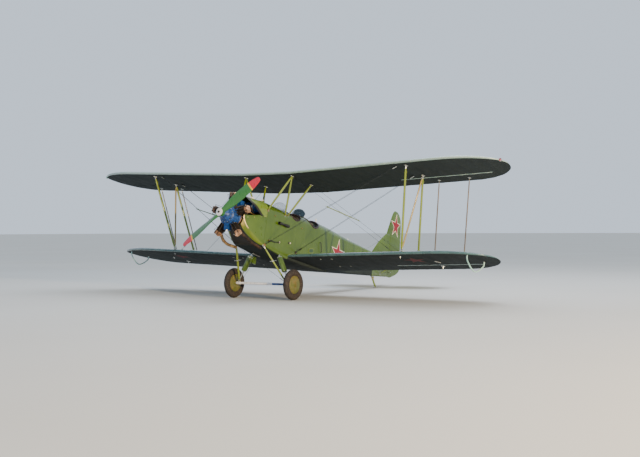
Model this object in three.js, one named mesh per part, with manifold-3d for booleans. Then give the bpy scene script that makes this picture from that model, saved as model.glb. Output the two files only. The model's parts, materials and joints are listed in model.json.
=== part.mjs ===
// A two-seat training biplane with an open five-cylinder radial engine, standing on its
// wheels and tail skid. Millimetres. In the aircraft's own level frame X runs to port,
// Y aft and Z up, from the point on the ground line below the axle. The level frame is
// then tilted nose up, as the aircraft stands.
import * as THREE from 'three';
import { mergeVertices } from 'three/addons/utils/BufferGeometryUtils.js';
import Module from 'manifold-3d';

const wasm = await Module();
wasm.setup();

// Driving dimensions of the stance and the fits
const NOSE_UP = THREE.MathUtils.degToRad(12.5);
const GAP = 0.3;
const RUNNING_GAP = 6;
const PIN_GAP = 0.5;

// Driving dimensions of the wings
const CHORD = 1650;
const INCIDENCE = THREE.MathUtils.degToRad(2);
const SECTION_THICKNESS = 0.081;
const SECTION_CAMBER = 0.03;
const CAMBER_PLACE = 0.4;
const TRAILING_EDGE_HALF = 3;
const FRONT_SPAR = 0.127;
const REAR_SPAR = 0.609;
const LEADING_TIP_ARC = 1300;
const TRAILING_TIP_ARC = 1100;
const TIP_PLACE = 0.45;
const HINGE_PLACE = 0.745;
const CENTRE_HALF_SPAN = 690;
const UPPER = {
  root: CENTRE_HALF_SPAN, tip: 5700, lead: -590, height: 2841, dihedral: 0.0471, aileron: [2950, 5150],
};
const LOWER = {
  root: 400, tip: 5320, lead: 175, height: 1056, dihedral: 0.0327, aileron: [2650, 4800],
};

// Driving dimensions of the engine and propeller
const THRUST_HEIGHT = 1600;
const PROPELLER_PLACE = -1915;
const PROPELLER_RADIUS = 1200;
const PROPELLER_REST = THREE.MathUtils.degToRad(52);
const BOSS_RADIUS = 78;
const BOSS_DEPTH = 110;
const SHAFT_RADIUS = 30;
const SHAFT_REACH = 60;
const CYLINDER_PLACE = -1570;
const CYLINDER_COUNT = 5;
const CYLINDER_SEAT = 225;
const ENGINE_RADIUS = 530;
const COWL_FRONT = -1420;
const FIREWALL = -780;

// Driving dimensions of the landing gear
const WHEEL_RADIUS = 350;
const TYRE_WIDTH = 134;
const TYRE_DEPTH = 80;
const RIM_RADIUS = 206;
const HALF_TRACK = 849;
const AXLE_RADIUS = 22;
const SKID_PLACE = 5110;

// Driving dimensions of the tail
const TAIL_HINGE = 5420;
const RUDDER_HINGE = 5462;
const TAILPLANE_HEIGHT = 1995;
const TAILPLANE_HALF_THICKNESS = 26;
const TAIL_SEAT_FRONT = 4556;

const UP = new THREE.Vector3(0, 0, 1);
const AFT = new THREE.Vector3(0, 1, 0);
const ACROSS = new THREE.Vector3(1, 0, 0);
const at = (x, y, z) => new THREE.Vector3(x, y, z);

// Solids
function facesOf(geometry) {
  const index = geometry.index.array;
  const faces = [];
  for (let i = 0; i < index.length; i += 3) {
    const [a, b, c] = index.slice(i, i + 3);
    if (a !== b && b !== c && c !== a) faces.push([a, b, c]);
  }
  return faces;
}

function signedVolume(position, faces) {
  const [a, b, c] = [at(), at(), at()];
  let volume = 0;
  for (const face of faces) {
    a.fromBufferAttribute(position, face[0]);
    b.fromBufferAttribute(position, face[1]);
    c.fromBufferAttribute(position, face[2]);
    volume += a.dot(b.cross(c)) / 6;
  }
  return volume;
}

function solid(geometry) {
  const bare = geometry.clone();
  bare.deleteAttribute('normal');
  bare.deleteAttribute('uv');
  const merged = mergeVertices(bare);
  const faces = facesOf(merged);
  if (signedVolume(merged.attributes.position, faces) < 0) faces.forEach((face) => face.reverse());
  const vertProperties = Float32Array.from(merged.attributes.position.array);
  const triVerts = Uint32Array.from(faces.flat());
  return new wasm.Manifold(new wasm.Mesh({ numProp: 3, vertProperties, triVerts }));
}

function geometryOf(body) {
  const { vertProperties, triVerts } = body.getMesh();
  const geometry = new THREE.BufferGeometry();
  geometry.setAttribute('position', new THREE.BufferAttribute(Float32Array.from(vertProperties), 3));
  geometry.setIndex(Array.from(triVerts));
  return geometry;
}

function join(first, ...others) {
  return geometryOf(others.reduce((body, other) => body.add(solid(other)), solid(first)));
}

function cut(first, ...tools) {
  return geometryOf(tools.reduce((body, tool) => body.subtract(solid(tool)), solid(first)));
}

function common(first, second) {
  return geometryOf(solid(first).intersect(solid(second)));
}

function mirrored(geometry) {
  return geometryOf(solid(geometry.clone().scale(-1, 1, 1)));
}

// Shapes
function box(low, high) {
  const size = high.clone().sub(low);
  const middle = low.clone().add(high).multiplyScalar(0.5);
  return new THREE.BoxGeometry(size.x, size.y, size.z).translate(middle.x, middle.y, middle.z);
}

// Lengths that lugs stand out of a surface and reach into it
const STRUT_STAND = 28;
const WIRE_STAND = 12;
const LUG_ROOT = 14;
const DIAGONAL_STAND = 42;

// Triangles over a flat ring of points, turned the way the ring runs
function capFaces(ring) {
  const normal = at();
  ring.forEach((p, i) => normal.add(p.clone().cross(ring[(i + 1) % ring.length])));
  normal.normalize();
  const right = at().crossVectors(Math.abs(normal.z) < 0.9 ? UP : AFT, normal).normalize();
  const above = at().crossVectors(normal, right);
  const outline = ring.map((p) => new THREE.Vector2(p.dot(right), p.dot(above)));
  const faces = THREE.ShapeUtils.triangulateShape(outline, []);
  return faces.map((face) => {
    const turned = THREE.ShapeUtils.area(face.map((i) => outline[i])) > 0;
    return turned ? face : face.slice().reverse();
  });
}

// A closed skin through rings that have the same number of points
function loft(rings) {
  const count = rings[0].length;
  const faces = [];
  for (let start = 0; start < (rings.length - 1) * count; start += count) {
    for (let i = 0; i < count; i += 1) {
      const a = start + i;
      const b = start + (i + 1) % count;
      faces.push(a, b, a + count, b, b + count, a + count);
    }
  }
  const last = (rings.length - 1) * count;
  capFaces(rings[0]).forEach((face) => faces.push(...face.reverse()));
  capFaces(rings[rings.length - 1]).forEach((face) => faces.push(...face.map((i) => i + last)));
  const geometry = new THREE.BufferGeometry();
  const position = rings.flat().flatMap((p) => [p.x, p.y, p.z]);
  geometry.setAttribute('position', new THREE.Float32BufferAttribute(position, 3));
  geometry.setIndex(faces);
  return geometry;
}

function ellipseRing(halfAcross, halfAlong, sides) {
  return Array.from({ length: sides }, (_, i) => {
    const turn = 2 * Math.PI * i / sides;
    return new THREE.Vector2(halfAcross * Math.cos(turn), halfAlong * Math.sin(turn));
  });
}

// A straight bar with an oval section whose long side lies along the flight direction
function bar(from, to, halfThick, halfDeep = halfThick, sides = 8) {
  const along = to.clone().sub(from).normalize();
  const deep = AFT.clone().addScaledVector(along, -along.y).normalize();
  const thick = at().crossVectors(deep, along);
  const place = (p, end) => end.clone().addScaledVector(thick, p.x).addScaledVector(deep, p.y);
  const ring = ellipseRing(halfThick, halfDeep, sides);
  return loft([ring.map((p) => place(p, from)), ring.map((p) => place(p, to))]);
}

// A bar between two lugs, a small gap short of each
function barBetween(from, to, stand, halfThick, halfDeep, sides = 8) {
  const along = to.clone().sub(from).normalize();
  const start = from.clone().addScaledVector(along, stand + GAP);
  const end = to.clone().addScaledVector(along, -stand - GAP);
  return bar(start, end, halfThick, halfDeep, sides);
}

// A lug at a point, standing toward the far end of the bar or wire that it holds
function lug(point, far, stand, radius) {
  const along = far.clone().sub(point).normalize();
  const root = point.clone().addScaledVector(along, -LUG_ROOT);
  return bar(root, point.clone().addScaledVector(along, stand), radius, radius, 6);
}

const strutLug = (point, far) => lug(point, far, STRUT_STAND, 9);
const wireLug = (point, far) => lug(point, far, WIRE_STAND, 6);

function bentTube(points, radius, steps = 12, sides = 8) {
  const path = new THREE.CatmullRomCurve3(points, false, 'centripetal');
  const section = new THREE.Shape(ellipseRing(radius, radius, sides));
  return new THREE.ExtrudeGeometry(section, { extrudePath: path, steps, bevelEnabled: false });
}

// A round bar along X
function crossBar(fromX, toX, radius, y = 0, z = 0, sides = 24) {
  const geometry = new THREE.CylinderGeometry(radius, radius, toX - fromX, sides).rotateZ(Math.PI / 2);
  return geometry.translate((fromX + toX) / 2, y, z);
}

// A turned body along Y from rows of radius and place
function turned(profile, sides = 28) {
  return new THREE.LatheGeometry(profile.map(([radius, y]) => new THREE.Vector2(radius, y)), sides);
}

// Materials
const finish = (color, roughness, metalness = 0) => (
  new THREE.MeshStandardMaterial({ color, roughness, metalness })
);
const FINISHES = {
  olive: finish(0x76873f, 0.5),
  strut: finish(0x8a9636, 0.45),
  slate: finish(0x39463f, 0.55),
  rubber: finish(0x2c2825, 0.85),
  aluminium: finish(0xb4b6b4, 0.35, 0.9),
  blue: finish(0x2f6fa8, 0.4, 0.2),
  iron: finish(0x3b332d, 0.6, 0.7),
  soot: finish(0x1f1c1a, 0.7, 0.4),
  propeller: finish(0x3f7a2e, 0.4),
  leather: finish(0x4a3526, 0.7),
  glass: finish(0xa9b9c2, 0.1),
};

const object = new THREE.Group();
const level = new THREE.Group();
level.rotation.x = -NOSE_UP;
object.add(level);

function piece(name, geometry, colour, parent = level) {
  const mesh = new THREE.Mesh(geometryOf(solid(geometry)), FINISHES[colour]);
  mesh.name = name;
  parent.add(mesh);
  return mesh;
}

function pair(name, geometry, colour) {
  piece(`${name}_port`, geometry, colour);
  piece(`${name}_starboard`, mirrored(geometry), colour);
}

// Half thickness of a streamlined section at a fraction of its chord, as a share of the greatest
function sectionSpread(x) {
  return 10 * (0.2969 * Math.sqrt(x) - 0.126 * x - 0.3516 * x ** 2 + 0.2843 * x ** 3 - 0.1036 * x ** 4);
}

// Wing section: height over the chord line, as a share of the chord, on the top or the underside
function sectionHeight(fraction, side) {
  const x = Math.min(Math.max(fraction, 0), 1);
  const reach = x < CAMBER_PLACE ? CAMBER_PLACE : 1 - CAMBER_PLACE;
  const camber = SECTION_CAMBER * (1 - ((x - CAMBER_PLACE) / reach) ** 2);
  return camber + side * (SECTION_THICKNESS / 2 * sectionSpread(x) + x * TRAILING_EDGE_HALF / CHORD);
}

// Places round a section, from the trailing edge under the leading edge and back over the top
function sectionSteps(steps) {
  return Array.from({ length: 2 * steps + 1 }, (_, k) => {
    const i = k - steps;
    return { fraction: 1 - Math.cos(Math.PI / 2 * Math.abs(i) / steps), side: i < 0 ? -1 : 1 };
  });
}

function wingRing(x, lead, trail) {
  const chord = trail - lead;
  return sectionSteps(9).map(({ fraction, side }) => (
    at(x, lead + chord * fraction, chord * sectionHeight(fraction, side))
  ));
}

// How far the rounded wing tip has drawn an edge in, as a share of its full sweep
function tipShare(distance, arc) {
  const into = Math.min(Math.max(1 - distance / arc, 0), 1);
  return 1 - Math.sqrt(1 - into ** 2);
}

function panelEdges(inset) {
  const lead = CHORD * TIP_PLACE * tipShare(inset, LEADING_TIP_ARC);
  const trail = CHORD - CHORD * (1 - TIP_PLACE) * tipShare(inset, TRAILING_TIP_ARC);
  return { lead, trail };
}

// An outer panel in its own frame: X outboard from the root, Y aft from the leading edge
function panelShape(start, span) {
  const rings = [wingRing(start, 0, CHORD)];
  for (const degrees of [0, 16, 31, 45, 57, 67, 76, 83, 88]) {
    const inset = LEADING_TIP_ARC * (1 - Math.sin(THREE.MathUtils.degToRad(degrees)));
    const { lead, trail } = panelEdges(inset);
    rings.push(wingRing(span - inset, lead, trail));
  }
  return loft(rings);
}

const HINGE_Y = CHORD * HINGE_PLACE;
const HINGE_Z = CHORD * (sectionHeight(HINGE_PLACE, 1) + sectionHeight(HINGE_PLACE, -1)) / 2;
const HINGE_RADIUS = CHORD * (sectionHeight(HINGE_PLACE, 1) - sectionHeight(HINGE_PLACE, -1)) / 2;
const REACH = 400;

function aileronShape(panel, from, to, horns) {
  const behind = box(at(from, HINGE_Y, -REACH), at(to, CHORD + REACH, REACH));
  const nose = crossBar(from, to, HINGE_RADIUS, HINGE_Y, HINGE_Z, 20);
  return join(common(panel, behind), nose, ...horns).translate(0, -HINGE_Y, -HINGE_Z);
}

// Blocks that reach from the wing to the round nose of the aileron at its hinges
function hingeBlocks(from, to) {
  const half = { across: 15, high: 9, deep: 30 };
  const end = HINGE_Y - HINGE_RADIUS - PIN_GAP;
  return [0.08, 0.5, 0.92].map((share) => {
    const x = THREE.MathUtils.lerp(from, to, share);
    const low = at(x - half.across, end - half.deep, HINGE_Z - half.high);
    return box(low, at(x + half.across, end, HINGE_Z + half.high));
  });
}

function panelFrame(wing, side) {
  const frame = new THREE.Group();
  frame.position.set(side * wing.root, wing.lead, wing.height);
  frame.rotation.set(-INCIDENCE, -side * wing.dihedral, 0);
  frame.updateMatrix();
  return frame;
}

// A point on the top or underside of a port panel, in the level frame
function onPanel(wing, x, fraction, side) {
  const { lead, trail } = panelEdges(wing.tip - x);
  const [y, chord] = [CHORD * fraction, trail - lead];
  const local = at(x - wing.root, y, chord * sectionHeight((y - lead) / chord, side));
  return local.applyMatrix4(panelFrame(wing, 1).matrix);
}

function onCentre(x, fraction, side) {
  const local = at(0, CHORD * fraction, CHORD * sectionHeight(fraction, side));
  local.applyAxisAngle(ACROSS, -INCIDENCE);
  return local.add(at(x, UPPER.lead, UPPER.height));
}

// Fuselage and nose: stations along Y, each a flat-sided section with an arched deck
const FUSELAGE_STATIONS = [
  { y: FIREWALL, half: 400, low: 1100, shoulder: 1925, ridge: 2150 },
  { y: 100, half: 402, low: 978, shoulder: 1925, ridge: 2115 },
  { y: 800, half: 402, low: 952, shoulder: 1925, ridge: 2155 },
  { y: 1500, half: 394, low: 958, shoulder: 1925, ridge: 2160 },
  { y: 1900, half: 372, low: 998, shoulder: 1926, ridge: 2152 },
  { y: 3050, half: 268, low: 1162, shoulder: 1935, ridge: 2068 },
  { y: 4550, half: 124, low: 1370, shoulder: 1950, ridge: 2006 },
  { y: 5434, half: 32, low: 1490, shoulder: 1958, ridge: 1975 },
];
const COWL_STATIONS = [
  { y: FIREWALL - GAP, half: 400, low: 1100, shoulder: 1800, ridge: 1822, keel: 372, chine: 1128 },
  { y: -1130, half: 338, low: 1212, shoulder: 1704, ridge: 1726, keel: 250, chine: 1300 },
  { y: -1310, half: 290, low: 1330, shoulder: 1670, ridge: 1692, keel: 200, chine: 1430 },
  { y: COWL_FRONT, half: 256, low: 1435, shoulder: 1652, ridge: 1674, keel: 190, chine: 1600 },
];
const HOOD_STATIONS = [
  { y: FIREWALL - GAP, half: 400, low: 1650, shoulder: 1925, ridge: 2150 },
  { y: -1345, half: 330, low: 1650, shoulder: 1850, ridge: 2122 },
];

const CHINE = 24;

function hullRing(station, grow = 0) {
  const { y, low, shoulder, ridge } = station;
  const half = station.half + grow;
  const keel = (station.keel ?? station.half - CHINE) + grow;
  const chine = station.chine ?? low + CHINE;
  const arch = 5;
  const side = [[keel, low - grow], [half, chine], [half, shoulder]];
  for (let i = 1; i < arch; i += 1) {
    const turn = Math.PI / 2 * i / arch;
    side.push([half * Math.cos(turn), shoulder + (ridge + grow - shoulder) * Math.sin(turn)]);
  }
  const far = side.map(([x, z]) => [-x, z]).reverse();
  return [...side, [0, ridge + grow], ...far].map(([x, z]) => at(x, y, z));
}

const hull = (stations, grow = 0) => loft(stations.map((station) => hullRing(station, grow)));
const HULL_CLEARANCE = hull(FUSELAGE_STATIONS, GAP);

// The fuselage section at any place between two stations
function hullAt(y) {
  const after = FUSELAGE_STATIONS.findIndex((station) => station.y >= y);
  const [a, b] = [FUSELAGE_STATIONS[Math.max(after - 1, 0)], FUSELAGE_STATIONS[after]];
  const share = b.y === a.y ? 0 : (y - a.y) / (b.y - a.y);
  const mix = (key) => THREE.MathUtils.lerp(a[key], b[key], share);
  return { y, half: mix('half'), low: mix('low'), shoulder: mix('shoulder'), ridge: mix('ridge') };
}

// Cockpits: a hollow under the deck, opened by a curved cut across it
const COCKPITS = [
  { name: 'front', middle: 352, half: 292, from: -330, to: 690 },
  { name: 'rear', middle: 1150, half: 286, from: 750, to: 1450 },
];
const WALL = 34;
const FLOOR = 1120;
const RIM_LOW = 1932;
const DECK_SKIN = 40;
const MOUTH_TOP = 2250;

function cockpitHollow({ from, to }) {
  const inside = [from, (from + to) / 2, to].map((y) => {
    const { half, shoulder, ridge } = hullAt(y);
    const [side, crown] = [shoulder - DECK_SKIN, ridge - DECK_SKIN];
    return { y, half: half - WALL, low: FLOOR, shoulder: side, ridge: crown };
  });
  return hull(inside);
}

function cockpitMouth({ middle, half }) {
  const width = 1000;
  return new THREE.CylinderGeometry(1, 1, width, 24)
    .rotateZ(Math.PI / 2)
    .scale(1, half, MOUTH_TOP - RIM_LOW)
    .translate(0, middle, MOUTH_TOP);
}

const CABANE_FRONT_FOOT = at(400, -766, 1930);
const CABANE_DIAGONAL_FOOT = at(397, -100, 1955);
const CABANE_REAR_FOOT = at(391, 16, 1970);
const GEAR_FRONT_TOP = at(391, -748, 1096);
const GEAR_REAR_TOP = at(394, -130, 1008);
const WIRE_FRONT_FOOT = at(398, -735, 1130);
const WIRE_REAR_FOOT = at(400, 480, 1190);

const SIDES = [['port', 1], ['starboard', -1]];
const bothSides = (geometries) => [...geometries, ...geometries.map(mirrored)];

function makeFuselage() {
  const seatHeight = TAILPLANE_HEIGHT - TAILPLANE_HALF_THICKNESS - GAP;
  const tailSeat = box(at(-200, TAIL_SEAT_FRONT, seatHeight), at(200, 5600, 2100));
  const shell = cut(
    hull(FUSELAGE_STATIONS),
    ...COCKPITS.map(cockpitHollow),
    ...COCKPITS.map(cockpitMouth),
    tailSeat,
  );
  const lugs = bothSides([
    strutLug(CABANE_FRONT_FOOT, CABANE_FRONT_TOP),
    lug(CABANE_DIAGONAL_FOOT, CABANE_FRONT_TOP, DIAGONAL_STAND, 9),
    strutLug(CABANE_REAR_FOOT, CABANE_REAR_TOP),
    strutLug(GEAR_FRONT_TOP, GEAR_FRONT_FOOT),
    strutLug(GEAR_REAR_TOP, GEAR_REAR_FOOT),
    wireLug(WIRE_FRONT_FOOT, FLYING_FRONT_TOP),
    wireLug(WIRE_REAR_FOOT, FLYING_REAR_TOP),
    strutLug(TAIL_STRUT_FOOT, TAIL_STRUT_TOP),
  ]);
  piece('fuselage', join(shell, ...lugs), 'olive');
}

// The hood over the rear of the engine: its front lower edge slants aft to the cowl
const HOOD_EDGE = { y: -1165, z: 1883, lean: Math.atan2(361, 253) };
const HOOD_LOW = 1660;

function makeCowl() {
  const { y, z, lean } = HOOD_EDGE;
  const ahead = box(at(-600, -900, -600), at(600, 0, 600)).rotateX(lean).translate(0, y, z);
  const above = box(at(-600, -2000, HOOD_LOW), at(600, FIREWALL + 80, 2400));
  const hood = cut(common(hull(HOOD_STATIONS), above), ahead);
  piece('cowl', join(hull(COWL_STATIONS), hood), 'olive');
}

// Windshields: a bent pane, leaning aft, on the deck just ahead of each cockpit
const PANE = { radius: 330, thick: 6, sweep: 40, lean: 32, below: 200, above: 235, ahead: 45 };

function makeWindshields() {
  const sweep = THREE.MathUtils.degToRad(PANE.sweep);
  const bend = new THREE.Shape();
  const ahead = -Math.PI / 2;
  bend.absarc(0, PANE.radius, PANE.radius, ahead - sweep, ahead + sweep, false);
  bend.absarc(0, PANE.radius, PANE.radius - PANE.thick, ahead + sweep, ahead - sweep, true);
  const depth = PANE.below + PANE.above;
  const upright = new THREE.ExtrudeGeometry(bend, { depth, bevelEnabled: false, curveSegments: 8 });
  upright.translate(0, 0, -PANE.below).rotateX(-THREE.MathUtils.degToRad(PANE.lean));
  for (const { name, middle, half } of COCKPITS) {
    const foot = middle - half - PANE.ahead;
    const pane = upright.clone().translate(0, foot, hullAt(foot).ridge);
    piece(`windshield_${name}`, cut(pane, HULL_CLEARANCE), 'glass');
  }
}

// Seats: a pan and a back on a box base
function makeSeats() {
  const [across, deep, thick, pan, back] = [230, 200, 30, 1430, 1850];
  for (const { name, to } of COCKPITS) {
    const rear = to - 45;
    const low = at(-across + 60, rear - deep * 2 + 80, FLOOR + GAP);
    const base = box(low, at(across - 60, rear - thick, pan));
    const seat = box(at(-across, rear - deep * 2, pan - thick), at(across, rear, pan));
    const rest = box(at(-across, rear - thick, pan - thick), at(across, rear, back));
    piece(`seat_${name}`, join(base, seat, rest), 'leather');
  }
}

// Upper centre section
function makeCentreSection() {
  const ends = [-CENTRE_HALF_SPAN, CENTRE_HALF_SPAN];
  const slab = loft(ends.map((x) => wingRing(x, 0, CHORD))).rotateX(-INCIDENCE);
  slab.translate(0, UPPER.lead, UPPER.height);
  const lugs = bothSides([
    strutLug(CABANE_FRONT_TOP, CABANE_FRONT_FOOT),
    strutLug(CABANE_REAR_TOP, CABANE_REAR_FOOT),
    wireLug(LANDING_FRONT_TOP, LANDING_FRONT_FOOT),
    wireLug(LANDING_REAR_TOP, LANDING_REAR_FOOT),
  ]);
  piece('upper_wing_centre', join(slab, ...lugs), 'slate');
}

const CABANE_TOP = 668;
const CABANE_FRONT_TOP = onCentre(CABANE_TOP, FRONT_SPAR, -1);
const CABANE_REAR_TOP = onCentre(CABANE_TOP, REAR_SPAR, -1);
const LANDING_FRONT_TOP = onCentre(CABANE_TOP + 10, FRONT_SPAR + 0.03, -1);
const LANDING_REAR_TOP = onCentre(CABANE_TOP + 10, REAR_SPAR + 0.03, -1);

// Interplane struts and wires: where they meet the panels
const STRUT_TOP = 3610;
const STRUT_FOOT = 3283;
const WIRE_INSET = 230;
const FRONT_TOP = onPanel(UPPER, STRUT_TOP, FRONT_SPAR, -1);
const REAR_TOP = onPanel(UPPER, STRUT_TOP, REAR_SPAR, -1);
const FRONT_FOOT = onPanel(LOWER, STRUT_FOOT, FRONT_SPAR, 1);
const REAR_FOOT = onPanel(LOWER, STRUT_FOOT, REAR_SPAR, 1);
const FLYING_FRONT_TOP = onPanel(UPPER, STRUT_TOP - WIRE_INSET, FRONT_SPAR, -1);
const FLYING_REAR_TOP = onPanel(UPPER, STRUT_TOP - WIRE_INSET, REAR_SPAR, -1);
const LANDING_FRONT_FOOT = onPanel(LOWER, STRUT_FOOT - WIRE_INSET, FRONT_SPAR, 1);
const LANDING_REAR_FOOT = onPanel(LOWER, STRUT_FOOT - WIRE_INSET, REAR_SPAR, 1);

// Aileron link rods: each turns on a horn of a lower aileron and ends at a horn of the upper one
const LINKS = [
  { name: 'inner', top: 3787, foot: 3480 },
  { name: 'outer', top: 4515, foot: 4208 },
];
const LINK_FOOT_PLACE = 0.855;
const LINK_TOP_PLACE = 0.878;
const LINK_RADIUS = 11;
const HORN = { stand: 18, eye: 8, half: 5, wide: 14, clear: 2.5 };
const linkFoot = ({ foot }) => onPanel(LOWER, foot, LINK_FOOT_PLACE, 1).add(at(0, 0, HORN.stand));
const linkTop = ({ top }) => onPanel(UPPER, top, LINK_TOP_PLACE, -1).add(at(0, 0, -HORN.stand));

// A horn whose round eye lies across the pivot, on a post that goes up or down into the aileron
function horn(pivot, side) {
  const root = pivot.clone().add(at(0, 0, -side * (HORN.stand + HORN.eye)));
  const post = bar(root, pivot, HORN.half, HORN.half, 6);
  return join(crossBar(pivot.x - HORN.wide, pivot.x + HORN.wide, HORN.eye, pivot.y, pivot.z, 16), post);
}

// Wing-tip bows: a loop of bent tube under each lower tip
const ROOT_OVERLAP = 45;
const BOW = { drop: 270, radius: 7 };
const BOW_FRONT = onPanel(LOWER, 4800, 0.2, -1);
const BOW_REAR = onPanel(LOWER, 4900, 0.59, -1);
const hangingLug = (point) => wireLug(point, point.clone().sub(UP));

function makePanels() {
  const centre = box(at(0, -2000, 2000), at(CENTRE_HALF_SPAN + GAP, 2000, 4000));
  const upperLugs = [
    strutLug(FRONT_TOP, FRONT_FOOT),
    strutLug(REAR_TOP, REAR_FOOT),
    wireLug(FLYING_FRONT_TOP, WIRE_FRONT_FOOT),
    wireLug(FLYING_REAR_TOP, WIRE_REAR_FOOT),
  ];
  const lowerLugs = [
    strutLug(FRONT_FOOT, FRONT_TOP),
    strutLug(REAR_FOOT, REAR_TOP),
    wireLug(LANDING_FRONT_FOOT, LANDING_FRONT_TOP),
    wireLug(LANDING_REAR_FOOT, LANDING_REAR_TOP),
    hangingLug(BOW_FRONT),
    hangingLug(BOW_REAR),
  ];
  const upperHorns = LINKS.map((link) => horn(linkTop(link), -1));
  const lowerHorns = LINKS.map((link) => horn(linkFoot(link), 1));
  const rows = [
    { name: 'upper', wing: UPPER, inner: centre, horns: upperHorns, lugs: upperLugs },
    { name: 'lower', wing: LOWER, inner: HULL_CLEARANCE, horns: lowerHorns, lugs: lowerLugs },
  ];
  for (const { name, wing, inner, horns, lugs } of rows) {
    const span = wing.tip - wing.root;
    const [from, to] = wing.aileron.map((x) => x - wing.root);
    const panel = panelShape(-ROOT_OVERLAP, span);
    const low = at(from - RUNNING_GAP, HINGE_Y - HINGE_RADIUS - RUNNING_GAP, -REACH);
    const slot = box(low, at(to + RUNNING_GAP, CHORD + REACH, REACH));
    const intoPanel = panelFrame(wing, 1).matrix.clone().invert();
    [...lugs, ...horns].forEach((geometry) => geometry.applyMatrix4(intoPanel));
    const inboard = inner.clone().applyMatrix4(intoPanel);
    const body = cut(join(cut(panel, slot), ...hingeBlocks(from, to), ...lugs), inboard);
    const aileron = aileronShape(panel, from, to, horns);
    for (const [label, side] of SIDES) {
      const frame = panelFrame(wing, side);
      level.add(frame);
      piece(`${name}_wing_${label}`, side > 0 ? body : mirrored(body), 'slate', frame);
      const flap = side > 0 ? aileron : mirrored(aileron);
      piece(`${name}_aileron_${label}`, flap, 'slate', frame).position.set(0, HINGE_Y, HINGE_Z);
    }
  }
}

function makeInterplaneStruts() {
  const [thick, deep] = [17, 34];
  pair('interplane_struts', join(
    barBetween(FRONT_FOOT, FRONT_TOP, STRUT_STAND, thick, deep),
    barBetween(REAR_FOOT, REAR_TOP, STRUT_STAND, thick, deep),
    barBetween(FRONT_FOOT, REAR_TOP, DIAGONAL_STAND, thick - 3, deep - 8),
  ), 'strut');
}

function makeCabane() {
  const [thick, deep] = [15, 29];
  pair('cabane_struts', join(
    barBetween(CABANE_FRONT_FOOT, CABANE_FRONT_TOP, STRUT_STAND, thick, deep),
    barBetween(CABANE_DIAGONAL_FOOT, CABANE_FRONT_TOP, DIAGONAL_STAND, thick, deep),
  ), 'strut');
  const rear = barBetween(CABANE_REAR_FOOT, CABANE_REAR_TOP, STRUT_STAND, thick, deep);
  pair('cabane_rear_strut', rear, 'strut');
}

// Flying and landing wires, tied by a long rod where they cross in the front view
const WIRE_RADIUS = 4;
const ROD_RADIUS = 11;
const ROD_OVERHANG = 90;

// The point of the line from a to b that lies nearest to the line from c to d
function nearestPoint([a, b], [c, d]) {
  const along = b.clone().sub(a);
  const other = d.clone().sub(c);
  const across = at().crossVectors(along, other);
  const share = at().crossVectors(c.clone().sub(a), other).dot(across) / across.lengthSq();
  return a.clone().addScaledVector(along, share);
}

const inFrontView = (line) => line.map((point) => point.clone().setY(0));

// The point of one wire that another wire crosses in the front view
function crossingOn(wire, other) {
  const flat = inFrontView(wire);
  const reach = nearestPoint(flat, inFrontView(other)).distanceTo(flat[0]);
  return wire[0].clone().lerp(wire[1], reach / flat[1].distanceTo(flat[0]));
}

function makeRigging() {
  const flying = [[WIRE_FRONT_FOOT, FLYING_FRONT_TOP], [WIRE_REAR_FOOT, FLYING_REAR_TOP]];
  const landing = [[LANDING_FRONT_TOP, LANDING_FRONT_FOOT], [LANDING_REAR_TOP, LANDING_REAR_FOOT]];
  const wires = [...flying, ...landing];
  const bars = wires.map(([from, to]) => barBetween(from, to, WIRE_STAND, WIRE_RADIUS, WIRE_RADIUS, 6));
  const axis = [crossingOn(flying[0], landing[0]), crossingOn(landing[1], flying[1])];
  const along = axis[1].clone().sub(axis[0]).normalize().multiplyScalar(ROD_OVERHANG);
  const rod = bar(axis[0].clone().sub(along), axis[1].clone().add(along), ROD_RADIUS);
  const clamps = wires.map((wire) => {
    const [near, far] = [nearestPoint(axis, wire), nearestPoint(wire, axis)];
    const apart = near.distanceTo(far) > 1 ? far.clone().sub(near) : UP.clone();
    return bar(near, far.clone().add(apart.setLength(WIRE_RADIUS + 8)), ROD_RADIUS - 2);
  });
  pair('rigging', join(rod, ...clamps, ...bars), 'aluminium');
}

function makeLinks() {
  for (const link of LINKS) {
    const foot = linkFoot(link);
    const span = linkTop(link).sub(foot);
    const shape = barBetween(at(0, 0, 0), span, HORN.eye + HORN.clear, LINK_RADIUS);
    for (const [label, side] of SIDES) {
      const rod = side > 0 ? shape : mirrored(shape);
      const mesh = piece(`aileron_link_${link.name}_${label}`, rod, 'strut');
      mesh.position.set(side * foot.x, foot.y, foot.z);
    }
  }
}

function makeBows() {
  const start = BOW_FRONT.clone().add(at(0, 0, -WIRE_STAND - GAP));
  const end = BOW_REAR.clone().add(at(0, 0, -WIRE_STAND - GAP));
  const bend = (share, drop) => start.clone().lerp(end, share).add(at(0, 0, -drop));
  const points = [
    start, bend(0, 40), bend(0.06, 110), bend(0.28, BOW.drop * 0.82), bend(0.52, BOW.drop),
    bend(0.78, BOW.drop * 0.72), bend(0.97, 90), bend(1, 40), end,
  ];
  pair('wingtip_bow', bentTube(points, BOW.radius, 20, 6), 'strut');
}

// Engine: crankcase, finned cylinders and exhaust pipes
function radial(degrees) {
  const turn = THREE.MathUtils.degToRad(degrees);
  return at(Math.sin(turn), 0, Math.cos(turn));
}

const cylinderAngle = (i) => 360 * i / CYLINDER_COUNT;

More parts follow.
